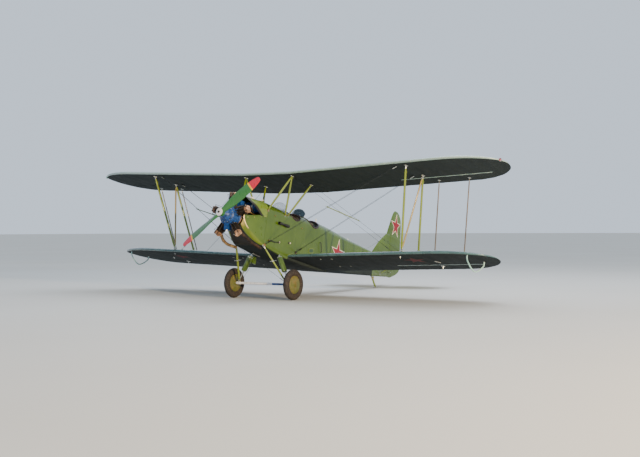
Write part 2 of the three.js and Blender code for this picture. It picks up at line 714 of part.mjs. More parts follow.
function makeCrankcase() {
  const shaftEnd = PROPELLER_PLACE + BOSS_DEPTH / 2 - SHAFT_REACH + GAP;
  const rear = COWL_FRONT - GAP;
  const profile = [
    [0, shaftEnd], [SHAFT_RADIUS, shaftEnd], [SHAFT_RADIUS, -1848], [62, -1848], [78, -1800],
    [120, -1745], [190, -1690], [212, -1672], [212, -1478], [176, -1452], [176, rear], [0, rear],
  ];
  const shell = turned(profile, 25);
  const pads = Array.from({ length: CYLINDER_COUNT }, (_, i) => {
    const foot = radial(cylinderAngle(i)).multiplyScalar(150).setY(CYLINDER_PLACE);
    const seat = radial(cylinderAngle(i)).multiplyScalar(CYLINDER_SEAT).setY(CYLINDER_PLACE);
    return bar(foot, seat, 84, 84, 12);
  });
  piece('engine_crankcase', join(shell, ...pads).translate(0, 0, THRUST_HEIGHT), 'blue');
}

const CYLINDER_LENGTH = ENGINE_RADIUS - CYLINDER_SEAT - GAP;
const CYLINDER = { barrel: 58, fin: 80, head: 74, fins: 4, pitch: 44, web: 18 };
const FINS_END = 40 + CYLINDER.fins * CYLINDER.pitch;

function cylinderProfile() {
  const { barrel, fin, head, fins, pitch, web } = CYLINDER;
  const profile = [[0, 0], [barrel + 14, 0], [barrel + 14, 14], [barrel, 14]];
  for (let i = 0; i < fins; i += 1) {
    const y = 40 + i * pitch;
    profile.push([barrel, y], [fin, y], [fin, y + web], [barrel, y + web]);
  }
  profile.push([barrel, FINS_END], [head, FINS_END], [head, CYLINDER_LENGTH - 22]);
  profile.push([40, CYLINDER_LENGTH], [0, CYLINDER_LENGTH]);
  return profile;
}

function cylinderFrame(i) {
  const out = radial(cylinderAngle(i));
  const frame = new THREE.Object3D();
  frame.quaternion.setFromUnitVectors(AFT, out);
  frame.position.copy(out).multiplyScalar(CYLINDER_SEAT + GAP).add(at(0, CYLINDER_PLACE, THRUST_HEIGHT));
  frame.updateMatrix();
  return frame;
}

function makeCylinders() {
  const shape = turned(cylinderProfile(), 12);
  for (let i = 0; i < CYLINDER_COUNT; i += 1) {
    const mesh = piece(`engine_cylinder_${i + 1}`, shape, 'iron');
    mesh.quaternion.copy(cylinderFrame(i).quaternion);
    mesh.position.copy(cylinderFrame(i).position);
  }
}

// Each pipe leaves the back of a lower cylinder head and runs aft under the nose
const EXHAUST_RADIUS = 34;
const EXHAUSTS = [
  {
    label: 'port',
    cylinder: 2,
    route: [
      at(276, -1540, 1226), at(292, -1450, 1218), at(322, -1330, 1170),
      at(338, -1130, 1096), at(352, -960, 1058), at(360, -820, 1032),
    ],
  },
  {
    label: 'starboard',
    cylinder: 3,
    route: [
      at(-276, -1540, 1226), at(-292, -1450, 1200), at(-318, -1330, 1110),
      at(-318, -1180, 1050), at(-300, -1040, 1035), at(-290, -880, 1030),
    ],
  },
];

function makeExhausts() {
  const [fin, head] = [CYLINDER.fin + GAP, CYLINDER.head + GAP];
  const end = FINS_END + GAP;
  const profile = [[0, 0], [fin, 0], [fin, end], [head, end], [head, CYLINDER_LENGTH], [0, CYLINDER_LENGTH]];
  const envelope = turned(profile, 12);
  for (const { label, cylinder, route } of EXHAUSTS) {
    const clearance = envelope.clone().applyMatrix4(cylinderFrame(cylinder).matrix);
    piece(`exhaust_${label}`, cut(bentTube(route, EXHAUST_RADIUS), clearance), 'soot');
  }
}

// Propeller: two twisted blades on a boss that turns on the crankshaft
const BLADE_STATIONS = [
  { radius: 0, chord: 120, thick: 96, pitch: 62 },
  { radius: 120, chord: 128, thick: 84, pitch: 52 },
  { radius: 300, chord: 176, thick: 52, pitch: 38 },
  { radius: 550, chord: 212, thick: 34, pitch: 27 },
  { radius: 800, chord: 204, thick: 25, pitch: 21 },
  { radius: 1020, chord: 168, thick: 18, pitch: 17 },
  { radius: 1140, chord: 122, thick: 13, pitch: 15 },
  { radius: PROPELLER_RADIUS, chord: 44, thick: 8, pitch: 14 },
];

function bladeRing({ radius, chord, thick, pitch }, direction) {
  const turn = THREE.MathUtils.degToRad(pitch);
  return ellipseRing(chord / 2, thick / 2, 10).map(({ x, y }) => at(
    direction * (x * Math.cos(turn) - y * Math.sin(turn)),
    x * Math.sin(turn) + y * Math.cos(turn),
    direction * radius,
  ));
}

function drum(radius, from, to) {
  return turned([[0, from], [radius, from], [radius, to], [0, to]], 24);
}

function makePropeller() {
  const half = BOSS_DEPTH / 2;
  const boss = drum(BOSS_RADIUS, -half, half);
  const plate = drum(88, -half - 6, -half + 2);
  const blades = [1, -1].map((way) => loft(BLADE_STATIONS.map((row) => bladeRing(row, way))));
  const bore = drum(SHAFT_RADIUS + PIN_GAP, half - SHAFT_REACH, half + 100);
  const mesh = piece('propeller', cut(join(boss, plate, ...blades), bore), 'propeller');
  mesh.position.set(0, PROPELLER_PLACE, THRUST_HEIGHT);
  mesh.rotation.y = PROPELLER_REST;
}

// Landing gear
const AXLE = at(0, -WHEEL_RADIUS * Math.sin(NOSE_UP), WHEEL_RADIUS * Math.cos(NOSE_UP));
const AXLE_LUG = 38;
const GEAR_FRONT_FOOT = at(688, AXLE.y, AXLE.z);
const GEAR_REAR_FOOT = at(742, AXLE.y, AXLE.z);
const SHAFT_SIDES = 16;

function makeAxle() {
  const outer = HALF_TRACK + TYRE_WIDTH / 2 + 12;
  const shaft = crossBar(-outer, outer, AXLE_RADIUS, AXLE.y, AXLE.z, SHAFT_SIDES);
  const cap = crossBar(outer, outer + 10, 34, AXLE.y, AXLE.z, SHAFT_SIDES);
  const rows = [[GEAR_FRONT_FOOT, GEAR_FRONT_TOP], [GEAR_REAR_FOOT, GEAR_REAR_TOP]];
  const lugs = rows.map(([foot, top]) => lug(foot, top, AXLE_LUG, 12));
  piece('axle', join(shaft, ...bothSides([cap, ...lugs])), 'aluminium');
}

// The point a given length down the line from one point to another
function along(from, to, length) {
  return from.clone().addScaledVector(to.clone().sub(from).normalize(), length);
}

function makeGear() {
  const frontLength = GEAR_FRONT_TOP.distanceTo(GEAR_FRONT_FOOT) - AXLE_LUG - GAP;
  const front = (length) => along(GEAR_FRONT_TOP, GEAR_FRONT_FOOT, length);
  pair('gear_front_strut', bar(front(STRUT_STAND + GAP), front(frontLength), 15, 27), 'strut');

  const rearLength = GEAR_REAR_TOP.distanceTo(GEAR_REAR_FOOT) - AXLE_LUG - GAP;
  const rear = (length) => along(GEAR_REAR_TOP, GEAR_REAR_FOOT, length);
  const fairing = bar(rear(STRUT_STAND + GAP), rear(430), 42, 75, 12);
  pair('gear_rear_leg', join(fairing, bar(rear(400), rear(rearLength), 16)), 'olive');
}

const WHEEL_SIDES = 40;

// The tyre's round section, flat where it sits on the rim
function tyreProfile() {
  const middle = WHEEL_RADIUS - TYRE_DEPTH;
  const ring = ellipseRing(TYRE_DEPTH, TYRE_WIDTH / 2, 12);
  const profile = ring.map(({ x, y }) => [Math.max(middle + x, RIM_RADIUS), y]);
  return [...profile, profile[0]];
}

function discProfile() {
  const bore = AXLE_RADIUS + 2 * PIN_GAP;
  const [hub, shoulder, edge] = [64, 50, 40];
  const rim = RIM_RADIUS - GAP;
  return [
    [bore, -hub], [60, -hub], [188, -shoulder], [rim, -edge], [rim, edge], [188, shoulder],
    [60, hub], [bore, hub], [bore, -hub],
  ];
}

function makeWheels() {
  const parts = [
    { name: 'tyre', profile: tyreProfile(), colour: 'rubber' },
    { name: 'wheel_disc', profile: discProfile(), colour: 'olive' },
  ];
  for (const { name, profile, colour } of parts) {
    const shape = turned(profile, WHEEL_SIDES).rotateZ(Math.PI / 2);
    for (const [label, side] of SIDES) {
      piece(`${name}_${label}`, shape, colour).position.set(side * HALF_TRACK, AXLE.y, AXLE.z);
    }
  }
}

// Tail skid: a sprung bar under the tail with a shoe flat on the ground
function fromGround(x, y, z) {
  return at(x, y, z).applyAxisAngle(ACROSS, NOSE_UP);
}

function makeSkid() {
  const shoe = box(at(-35, -70, 0), at(35, 60, 14)).translate(0, SKID_PLACE, 0).rotateX(NOSE_UP);
  const foot = fromGround(0, SKID_PLACE - 5, 18);
  const top = at(0, 4730, hullAt(4730).low - GAP - 16);
  const pad = box(at(-30, -60, -16), at(30, 60, 16));
  const slope = Math.atan2(hullAt(4900).low - hullAt(4600).low, 300);
  pad.rotateX(slope).translate(top.x, top.y, top.z);
  piece('tail_skid', join(shoe, bar(foot, top, 18, 22), pad), 'strut');
}

// Tail surfaces: a fixed surface and its moving one share a streamlined section, split at the hinge
function tailRing(place, { lead, trail, half }) {
  return sectionSteps(6).map(({ fraction, side }) => {
    const spread = 0.95 * sectionSpread(fraction) + 0.08 * fraction;
    return place(lead + (trail - lead) * fraction, side * half * spread);
  });
}

const finLoft = (rows) => loft(rows.map((row) => tailRing((y, x) => at(x, y, row.z), row)));
const tailLoft = (rows) => loft(rows.map((row) => tailRing((y, z) => at(row.x, y, z), row)));

const FIN_FOOT = TAILPLANE_HEIGHT + TAILPLANE_HALF_THICKNESS + GAP;
const FIN_TOP = 2672;
const RUDDER_FOOT = 1500;
const RUDDER_STEP = 2682;
const RUDDER_TOP = 3400;
const TAIL_NOSE = 20;
const FIN_ROWS = [
  { z: FIN_FOOT, lead: 4560, trail: 6128, half: 27 },
  { z: 2300, lead: 4800, trail: 6098, half: 27 },
  { z: 2540, lead: 5060, trail: 6062, half: 27 },
  { z: FIN_TOP, lead: 5235, trail: 6044, half: 26 },
  { z: RUDDER_STEP, lead: 5250, trail: 6042, half: 26 },
];
const RUDDER_ROWS = [
  { z: RUDDER_FOOT, lead: 5150, trail: 5640, half: 22 },
  { z: 1560, lead: 5080, trail: 5800, half: 24 },
  { z: 1660, lead: 4980, trail: 6010, half: 26 },
  { z: 1795, lead: 4850, trail: 6152, half: 27 },
];
const BALANCE_ROWS = [
  { z: RUDDER_STEP, lead: 5255, trail: 6042, half: 26 },
  { z: 2860, lead: 5315, trail: 6028, half: 25 },
  { z: 3050, lead: 5385, trail: 6004, half: 23 },
  { z: 3220, lead: 5452, trail: 5950, half: 20 },
  { z: 3340, lead: 5512, trail: 5850, half: 15 },
  { z: RUDDER_TOP, lead: 5580, trail: 5740, half: 8 },
];

function upright(fromZ, toZ, radius, y) {
  return new THREE.CylinderGeometry(radius, radius, toZ - fromZ, 20).rotateX(Math.PI / 2)
    .translate(0, y, (fromZ + toZ) / 2);
}

function makeFin() {
  const post = RUDDER_HINGE - TAIL_NOSE - RUNNING_GAP;
  const behind = box(at(-100, post, 1900), at(100, post + 1000, 2800));
  const above = box(at(-100, 4000, FIN_TOP), at(100, post + 1000, 2800));
  const end = RUDDER_HINGE - TAIL_NOSE - PIN_GAP;
  const blocks = [2120, 2600].map((z) => box(at(-9, post - 30, z - 15), at(9, end, z + 15)));
  piece('fin', join(cut(finLoft(FIN_ROWS), behind, above), ...blocks), 'olive');
}

function makeRudder() {
  const behind = box(at(-100, RUDDER_HINGE, RUDDER_FOOT - 100), at(100, 6400, RUDDER_STEP + 100));
  const lower = common(finLoft([...RUDDER_ROWS, ...FIN_ROWS]), behind);
  const nose = upright(RUDDER_FOOT, RUDDER_STEP + 20, TAIL_NOSE, RUDDER_HINGE);
  const blade = join(lower, finLoft(BALANCE_ROWS), nose).translate(0, -RUDDER_HINGE, 0);
  piece('rudder', blade, 'olive').position.set(0, RUDDER_HINGE, 0);
}

const TAIL_HALF_SPAN = 1780;
const ELEVATOR_ROOT = 75;
const ELEVATOR_ROOT_SWEEP = 430;

function tailRow(x) {
  const share = Math.abs(x) / TAIL_HALF_SPAN;
  const inset = TAIL_HALF_SPAN - Math.abs(x);
  const round = tipShare(inset, 520);
  const lead = 4610 + 330 * share + 260 * tipShare(inset, 420);
  const trail = 6030 - 60 * share - 560 * round;
  return { x, lead, trail, half: TAILPLANE_HALF_THICKNESS * (1 - 0.35 * round) };
}

const TAIL_PLACES = [400, 900, 1260, 1400, 1520, 1620, 1700, 1750, 1774];
const TAIL_STRUT_TOP = at(860, 5120, TAILPLANE_HEIGHT - 21);
const TAIL_STRUT_FOOT = at(76, 4950, 1484);

function makeTailplane() {
  const half = TAILPLANE_HALF_THICKNESS;
  const rows = [...TAIL_PLACES.map((x) => -x).reverse(), 0, ...TAIL_PLACES].map(tailRow);
  const post = TAIL_HINGE - TAIL_NOSE - RUNNING_GAP;
  const behind = box(at(-2000, post, -100), at(2000, post + 1000, 100));
  const end = TAIL_HINGE - TAIL_NOSE - PIN_GAP;
  const hinges = [-1300, -500, 500, 1300];
  const blocks = hinges.map((x) => box(at(x - 15, post - 30, -8), at(x + 15, end, 8)));
  const flatSeat = box(at(-130, 4640, -half), at(130, post, half));
  const down = at(0, 0, -TAILPLANE_HEIGHT);
  const lugs = bothSides([strutLug(TAIL_STRUT_TOP, TAIL_STRUT_FOOT)]);
  lugs.forEach((geometry) => geometry.translate(...down));
  const shape = join(cut(tailLoft(rows), behind), flatSeat, ...blocks, ...lugs);
  piece('tailplane', shape, 'olive').position.z = TAILPLANE_HEIGHT;
}

function makeElevators() {
  const tip = TAIL_PLACES[TAIL_PLACES.length - 2];
  const behind = box(at(ELEVATOR_ROOT, TAIL_HINGE, -100), at(tip, 6200, 100));
  const spar = crossBar(ELEVATOR_ROOT, tip, TAIL_NOSE, TAIL_HINGE, 0, 20);
  const [ahead, rear] = [TAIL_HINGE + TAIL_NOSE, 6100];
  const corners = [[0, ahead], [ELEVATOR_ROOT, ahead], [ELEVATOR_ROOT_SWEEP, rear], [0, rear]];
  const sweep = new THREE.Shape(corners.map(([x, y]) => new THREE.Vector2(x, y)));
  const swing = new THREE.ExtrudeGeometry(sweep, { depth: 200, bevelEnabled: false }).translate(0, 0, -100);
  const whole = tailLoft([0, ...TAIL_PLACES].map(tailRow));
  const blade = cut(join(common(whole, behind), spar), swing).translate(0, -TAIL_HINGE, 0);
  for (const [label, side] of SIDES) {
    const mesh = piece(`elevator_${label}`, side > 0 ? blade : mirrored(blade), 'olive');
    mesh.position.set(0, TAIL_HINGE, TAILPLANE_HEIGHT);
  }
}

function makeTailStruts() {
  pair('tailplane_strut', barBetween(TAIL_STRUT_FOOT, TAIL_STRUT_TOP, STRUT_STAND, 10, 18), 'strut');
}

makeFuselage();
makeCowl();
makeWindshields();
makeSeats();
makeCentreSection();
makePanels();
makeInterplaneStruts();
makeCabane();
makeRigging();
makeLinks();
makeBows();
makeCrankcase();
makeCylinders();
makeExhausts();
makePropeller();
makeAxle();
makeGear();
makeWheels();
makeSkid();
makeFin();
makeRudder();
makeTailplane();
makeElevators();
makeTailStruts();

// Stand the object on the ground, with its middle over the origin
const bounds = new THREE.Box3().setFromObject(object, true);
level.position.y = -(bounds.min.y + bounds.max.y) / 2;
level.position.z = -bounds.min.z;

export default object;
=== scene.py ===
"""A parked two-seat training biplane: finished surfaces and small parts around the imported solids.

Lengths are in metres. Shapes are drawn in the aircraft's level frame, with X to port, Y aft and
Z up from the ground line below the axle. LEVEL then stands them nose up, as the solids stand.
"""
import json
import math
from collections import Counter

import bmesh
import bpy
from mathutils import Matrix, Vector


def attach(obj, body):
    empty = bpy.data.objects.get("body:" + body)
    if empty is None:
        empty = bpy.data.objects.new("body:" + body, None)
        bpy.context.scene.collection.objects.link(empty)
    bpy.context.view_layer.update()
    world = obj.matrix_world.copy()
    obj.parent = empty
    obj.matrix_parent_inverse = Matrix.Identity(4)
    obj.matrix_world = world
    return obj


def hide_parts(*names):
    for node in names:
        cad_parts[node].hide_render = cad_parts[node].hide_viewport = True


bl_info = {
    "name": "Training biplane",
    "version": (1, 0, 0),
    "blender": (4, 5, 0),
    "location": "3D View > Sidebar > Biplane",
    "description": "Builds the skins, engine, rigging and finishes of a parked training biplane",
    "category": "Object",
}

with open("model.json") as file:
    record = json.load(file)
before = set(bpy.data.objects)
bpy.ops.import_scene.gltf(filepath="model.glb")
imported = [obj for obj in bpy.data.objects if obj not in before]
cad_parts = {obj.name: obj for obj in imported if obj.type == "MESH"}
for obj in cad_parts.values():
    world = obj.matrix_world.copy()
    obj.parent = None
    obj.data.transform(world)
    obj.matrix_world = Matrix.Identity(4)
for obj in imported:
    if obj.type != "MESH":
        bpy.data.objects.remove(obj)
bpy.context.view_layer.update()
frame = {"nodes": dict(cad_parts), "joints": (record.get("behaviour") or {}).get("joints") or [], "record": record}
JOINTS = {joint["name"]: joint for joint in frame["joints"]}

# Stance: the level frame's place in the row's frame
NOSE_UP = math.radians(12.5)
AXLE_ROW = Vector(JOINTS["wheel_port_spin"]["pos_m"])
LEVEL = Matrix.Translation((0, AXLE_ROW.y, 0)) @ Matrix.Rotation(-NOSE_UP, 4, "X")
INTO_LEVEL = LEVEL.inverted()
AXLE = INTO_LEVEL @ AXLE_ROW
SIDES = (("port", 1), ("starboard", -1))
OUTWARD, AFT, UP = Vector((1, 0, 0)), Vector((0, 1, 0)), Vector((0, 0, 1))
LYING_AHEAD = Matrix.Rotation(math.pi / 2, 4, "X")
LYING_OUT = Matrix.Rotation(math.pi / 2, 4, "Y")

# Wing layout
CHORD = 1.65
INCIDENCE = math.radians(2)
SECTION_THICKNESS = 0.081
SECTION_CAMBER = 0.03
CAMBER_PLACE = 0.4
TRAILING_EDGE = 0.003
FRONT_SPAR = 0.127
REAR_SPAR = 0.609
LEADING_TIP_ARC = 1.3
TRAILING_TIP_ARC = 1.1
TIP_PLACE = 0.45
HINGE_PLACE = 0.745
RUNNING_GAP = 0.006
CENTRE_HALF_SPAN = 0.69
UPPER = {"root": 0.69, "tip": 5.7, "lead": -0.59, "height": 2.841, "dihedral": 0.0471,
         "aileron": (2.95, 5.15)}
LOWER = {"root": 0.4, "tip": 5.32, "lead": 0.175, "height": 1.056, "dihedral": 0.0327,
         "aileron": (2.65, 4.8)}

# Fuselage stations: place along Y, half width, underside, shoulder and ridge heights
STATIONS = (
    (-0.78, 0.400, 1.100, 1.925, 2.150),
    (0.1, 0.402, 0.978, 1.925, 2.115),
    (0.8, 0.402, 0.952, 1.925, 2.155),
    (1.5, 0.394, 0.958, 1.925, 2.160),
    (1.9, 0.372, 0.998, 1.926, 2.152),
    (3.05, 0.268, 1.162, 1.935, 2.068),
    (4.55, 0.124, 1.370, 1.950, 2.006),
    (5.434, 0.032, 1.490, 1.958, 1.975),
)
CHINE = 0.024
FIREWALL = STATIONS[0][0]
STERN = STATIONS[-1][0]
SKIN_END = STERN - 0.014
THRUST_HEIGHT = 1.6
TAIL_SEAT_FRONT = 4.556
TAIL_SEAT_HEIGHT = 1.9687
COCKPITS = (
    {"name": "front", "middle": 0.352, "half": 0.292, "start": -0.33, "end": 0.69},
    {"name": "rear", "middle": 1.15, "half": 0.286, "start": 0.75, "end": 1.45},
)
MOUTH_TOP = 2.25
RIM_LOW = 1.932
FLOOR_HEIGHT = 1.12


# Colours and settings
def linear(hex_colour):
    """An sRGB hex colour as linear red, green, blue and alpha."""
    parts = [int(hex_colour[i:i + 2], 16) / 255 for i in (1, 3, 5)]
    return (*[p / 12.92 if p <= 0.04045 else ((p + 0.055) / 1.055) ** 2.4 for p in parts], 1.0)


def colour_setting(name, hex_colour, description):
    """A colour property with its default."""
    return bpy.props.FloatVectorProperty(
        name=name, description=description, default=linear(hex_colour),
        size=4, min=0, max=1, subtype="COLOR")


def length_setting(name, default, description):
    """A length property in metres."""
    return bpy.props.FloatProperty(
        name=name, description=description, default=default, min=0, unit="LENGTH", precision=4)


class BiplanePaint(bpy.types.PropertyGroup):
    """Colours of the finishes."""
    skin: colour_setting("Skin", "#3b5210", "Doped fabric and enamelled metal seen from the side")
    skin_faded: colour_setting("Faded skin", "#4e661e", "The same paint where sun has bleached it")
    # Leading edges: pale band of painted sky reflection along the wings' front edges
    lead: colour_setting("Leading edges", "#8aa3a0", "Bleached dope along the wings' front edges")
    # Underside: slate paint made darker still as painted shade under the wings
    underside: colour_setting("Underside", "#262d2f", "Doped fabric under the wings")
    strut: colour_setting("Struts", "#667618", "Enamelled struts and legs")
    case: colour_setting("Crankcase", "#12458a", "Engine crankcase enamel")
    head: colour_setting("Cylinder heads", "#c9a184", "Heat-tinted cylinder heads")
    blade: colour_setting("Propeller", "#256c2c", "Propeller enamel")
    blade_band: colour_setting("Propeller band", "#e0a21c", "Band inboard of the blade tips")
    blade_tip: colour_setting("Propeller tips", "#b81230", "Blade tips")
    star: colour_setting("Star", "#7e0014", "Five-pointed stars")
    star_edge: colour_setting("Star edge", "#e8e2d2", "Border of the stars")


class BiplaneSizes(bpy.types.PropertyGroup):
    """Sizes that shape the added parts."""
    rib_pitch: length_setting("Rib pitch", 0.31, "Distance between wing ribs")
    sag: length_setting("Fabric sag", 0.005, "Depth of the fabric between two ribs")
    scallop: length_setting("Edge scallop", 0.012, "Depth of the trailing edge between two ribs")
    tape: length_setting("Tape width", 0.05, "Width of the tapes sewn over the ribs")
    wire: length_setting("Wire", 0.006, "Diameter of the bracing wires")
    cable: length_setting("Cable", 0.004, "Diameter of the control cables")
    rim_pad: length_setting("Rim pad", 0.042, "Diameter of the padded cockpit rims")
    fin_pitch: length_setting("Fin pitch", 0.0115, "Distance between cylinder cooling fins")


class BiplaneStage(bpy.types.PropertyGroup):
    """Camera and light."""
    lens: bpy.props.FloatProperty(
        name="Lens", description="Focal length", default=55.62, min=1, unit="CAMERA")
    key: bpy.props.FloatProperty(
        name="Key light", description="Power of the main soft light", default=13500, min=0,
        unit="POWER")
    fill: bpy.props.FloatProperty(
        name="Top light", description="Power of the large soft light overhead", default=2000,
        min=0, unit="POWER")
    surround: bpy.props.FloatProperty(
        name="Surround strength", description="Brightness of the plain surround", default=1.12, min=0)
    floor: colour_setting("Floor", "#d3d0c9", "Plain floor")
    sky: colour_setting("Surround", "#d8e6f6", "Plain surround")


def paint():
    """The colour settings."""
    return bpy.context.scene.biplane_paint


def sizes():
    """The size settings."""
    return bpy.context.scene.biplane_sizes


# Finishes
FINISHES = {}


def add_node(material, kind, inputs=None, **settings):
    """Add a shader node; inputs maps a socket's name or number to a value or an output."""
    node = material.node_tree.nodes.new("ShaderNode" + kind)
    for name, value in settings.items():
        setattr(node, name, value)
    for key, value in (inputs or {}).items():
        if isinstance(value, bpy.types.NodeSocket):
            material.node_tree.links.new(value, node.inputs[key])
        else:
            node.inputs[key].default_value = value
    return node


def new_finish(name, **values):
    """A material with its Principled shader, kept under its name."""
    material = bpy.data.materials.new(name)
    material.use_nodes = True
    shader = material.node_tree.nodes["Principled BSDF"]
    for key, value in values.items():
        shader.inputs[key.replace("_", " ")].default_value = value
    FINISHES[name] = material
    return material, shader


def link(material, output, socket):
    """Join an output to an input socket."""
    material.node_tree.links.new(output, socket)


def mottle(material, size, detail=4.0, stretch=(1, 1, 1)):
    """Uneven noise whose patches are about the given size in metres, on the piece's own place."""
    place = add_node(material, "TexCoord").outputs["Object"]
    scaled = add_node(material, "Mapping", {"Vector": place, "Scale": stretch}).outputs[0]
    noise = add_node(material, "TexNoise", {"Vector": scaled, "Scale": 1 / size, "Detail": detail})
    return noise.outputs[0]


def shade(material, shader, factor, first, second, low=0.35, high=0.65):
    """Base colour from first to second as the factor goes from low to high."""
    spread = add_node(material, "MapRange", {0: factor, 1: low, 2: high}).outputs[0]
    mixed = add_node(material, "Mix", {0: spread, 6: first, 7: second}, data_type="RGBA").outputs[2]
    link(material, mixed, shader.inputs["Base Color"])
    return mixed


def roughen(material, shader, factor, low, high):
    """Roughness that runs from low to high with the factor."""
    rough = add_node(material, "MapRange", {0: factor, 1: 0.3, 2: 0.7, 3: low, 4: high}).outputs[0]
    link(material, rough, shader.inputs["Roughness"])


def bump(material, shader, height, distance, strength=1.0, under=None):
    """Raise the surface by the height, with the distance in metres, over an earlier bump."""
    inputs = {"Height": height, "Distance": distance, "Strength": strength}
    if under is not None:
        inputs["Normal"] = under
    raised = add_node(material, "Bump", inputs).outputs[0]
    link(material, raised, shader.inputs["Normal"])
    return raised


def weave(material, thread):
    """Height of a plain weave with the given thread spacing, on the piece's own place."""
    place = add_node(material, "TexCoord").outputs["Object"]
    waves = [add_node(material, "TexWave", {"Vector": place, "Scale": 1 / thread / math.tau},
                      bands_direction=axis).outputs[1] for axis in ("X", "Y", "Z")]
    pair = add_node(material, "Math", {0: waves[0], 1: waves[1]}, operation="ADD").outputs[0]
    return add_node(material, "Math", {0: pair, 1: waves[2]}, operation="ADD").outputs[0]


def tape_mask(material):
    """1 on the tapes, which lie on every whole number of the surface's first coordinate."""
    place = add_node(material, "UVMap", uv_map="bays").outputs[0]
    across = add_node(material, "SeparateXYZ", {0: place}).outputs[0]
    off = add_node(material, "Math", {0: across, 1: 0.5}, operation="PINGPONG").outputs[0]
    half = sizes().tape / 2 / sizes().rib_pitch
    return add_node(material, "MapRange", {0: off, 1: half * 1.15, 2: half * 0.85}).outputs[0]


def doped_fabric(name, base, faded, shine, coat=0.25, level=0.5):
    """Linen stretched over ribs and stiffened with coats of dope: a soft gloss, a faint weave,
    frayed tapes over the ribs, and patches that sun and rain have bleached."""
    material, shader = new_finish(name, IOR=1.46, Coat_Weight=coat, Coat_Roughness=shine,
                                  Specular_IOR_Level=level)
    cloud = mottle(material, 0.9, 5.0)
    streaks = mottle(material, 0.16, 3.0, (1.0, 0.35, 0.12))
    both = add_node(material, "Mix", {0: 0.35, 2: cloud, 3: streaks}).outputs[0]
    colour = shade(material, shader, both, base, faded, 0.38, 0.72)
    tape = tape_mask(material)
    lighter = add_node(material, "Mix", {0: 0.16, 6: colour, 7: faded}, data_type="RGBA").outputs[2]
    taped = add_node(material, "Mix", {0: tape, 6: colour, 7: lighter}, data_type="RGBA").outputs[2]
    link(material, taped, shader.inputs["Base Color"])
    roughen(material, shader, streaks, shine, shine + 0.16)
    # Linen has about 0.6 mm between threads; 3 mm is as fine as shows
    threads = bump(material, shader, weave(material, 0.003), 0.0002, 0.5)
    bump(material, shader, tape, 0.0012, 0.8, threads)


def enamelled_metal(name, base, faded, roughness=0.3, patch=0.5):
    """Sheet metal or tube with sprayed enamel: smooth gloss, slight orange peel and dulled patches."""
    material, shader = new_finish(name, IOR=1.5, Coat_Weight=0.35, Coat_Roughness=0.12)
    cloud = mottle(material, patch, 6.0)
    shade(material, shader, cloud, base, faded, 0.4, 0.75)
    roughen(material, shader, mottle(material, 0.12), roughness, roughness + 0.15)
    # Orange peel is 1 to 2 mm across; 6 mm shows
    bump(material, shader, mottle(material, 0.006, 1.0), 0.0003, 0.35)


def cast_metal(name, base, worn, roughness, metallic, patch=0.08):
    """Sand-cast or cast-iron surface: fine pits and a dull, uneven sheen with oil in the hollows."""
    material, shader = new_finish(name, Metallic=metallic)
    cloud = mottle(material, patch, 6.0)
    shade(material, shader, cloud, base, worn, 0.42, 0.7)
    roughen(material, shader, mottle(material, 0.03), roughness, roughness + 0.2)
    # Casting grit is about 1 mm; 4 mm shows
    bump(material, shader, mottle(material, 0.004, 3.0), 0.0006, 0.5)


def drawn_metal(name, base, worn, roughness):
    """Turned, drawn or rolled bright metal: fine lines along the work and faint grey bloom."""
    material, shader = new_finish(name, Metallic=1.0)
    shade(material, shader, mottle(material, 0.05, 5.0), base, worn, 0.4, 0.75)
    roughen(material, shader, mottle(material, 0.02, 2.0, (1, 6, 1)), roughness, roughness + 0.18)
    # Tool lines are about 0.2 mm apart; 2 mm shows
    bump(material, shader, mottle(material, 0.002, 2.0, (1, 8, 1)), 0.0001, 0.3)


def plain_paint(name, base, worn, roughness=0.4):
    """Brushed-on enamel for markings and small fittings: nearly even, a little chalky."""
    material, shader = new_finish(name, IOR=1.5)
    shade(material, shader, mottle(material, 0.06, 5.0), base, worn, 0.45, 0.8)
    roughen(material, shader, mottle(material, 0.04), roughness, roughness + 0.15)
    # Brush marks are about 1 mm wide; 4 mm shows
    bump(material, shader, mottle(material, 0.004, 2.0), 0.0001, 0.3)


def tanned_leather(name, base, worn):
    """Upholstery leather or webbing: pebbled grain, creased, worn pale on the crests."""
    material, shader = new_finish(name, IOR=1.5)
    place = add_node(material, "TexCoord").outputs["Object"]
    grain = add_node(material, "TexVoronoi", {"Vector": place, "Scale": 1 / 0.006}).outputs[0]
    shade(material, shader, mottle(material, 0.05, 6.0), base, worn, 0.45, 0.75)
    roughen(material, shader, grain, 0.5, 0.75)
    creases = bump(material, shader, mottle(material, 0.02, 4.0), 0.001, 0.5)
    bump(material, shader, grain, 0.0008, 0.5, creases)


def vulcanised_rubber(name, base, dust):
    """Tyre rubber: matt and finely pitted, with field dust in the grooves and on the shoulders."""
    material, shader = new_finish(name, IOR=1.52)
    shade(material, shader, mottle(material, 0.035, 7.0), base, dust, 0.42, 0.78)
    roughen(material, shader, mottle(material, 0.02), 0.7, 0.95)
    # Pits in rubber are under 1 mm; 3 mm shows
    bump(material, shader, mottle(material, 0.003, 4.0), 0.0005, 0.5)


def bevel_wear_and_light():
    """Sheet rubbed down to tan primer where hands and oil reach it ahead, under a painted sunlit highlight, and
    yellow-green aft, lighter than the skin as painted bounce light from the ground. The surface's second
    coordinate is the share of the way from the front to the firewall."""
    material, shader = new_finish("bevel_wear_and_painted_light", IOR=1.5, Coat_Weight=0.3, Coat_Roughness=0.2)
    place = add_node(material, "UVMap", uv_map="bays").outputs[0]
    aft = add_node(material, "SeparateXYZ", {0: place}).outputs[1]
    cloud = mottle(material, 0.06, 5.0)
    worn = add_node(material, "Math", {0: cloud, 1: 0.35, 2: aft}, operation="MULTIPLY_ADD").outputs[0]
    # Tan ahead: wear and painted highlight; yellow-green aft: painted ground bounce
    shade(material, shader, worn, linear("#b39a5a"), linear("#5c6e1a"), 0.1, 0.34)
    roughen(material, shader, cloud, 0.25, 0.45)
    bump(material, shader, mottle(material, 0.006, 2.0), 0.0003, 0.35)


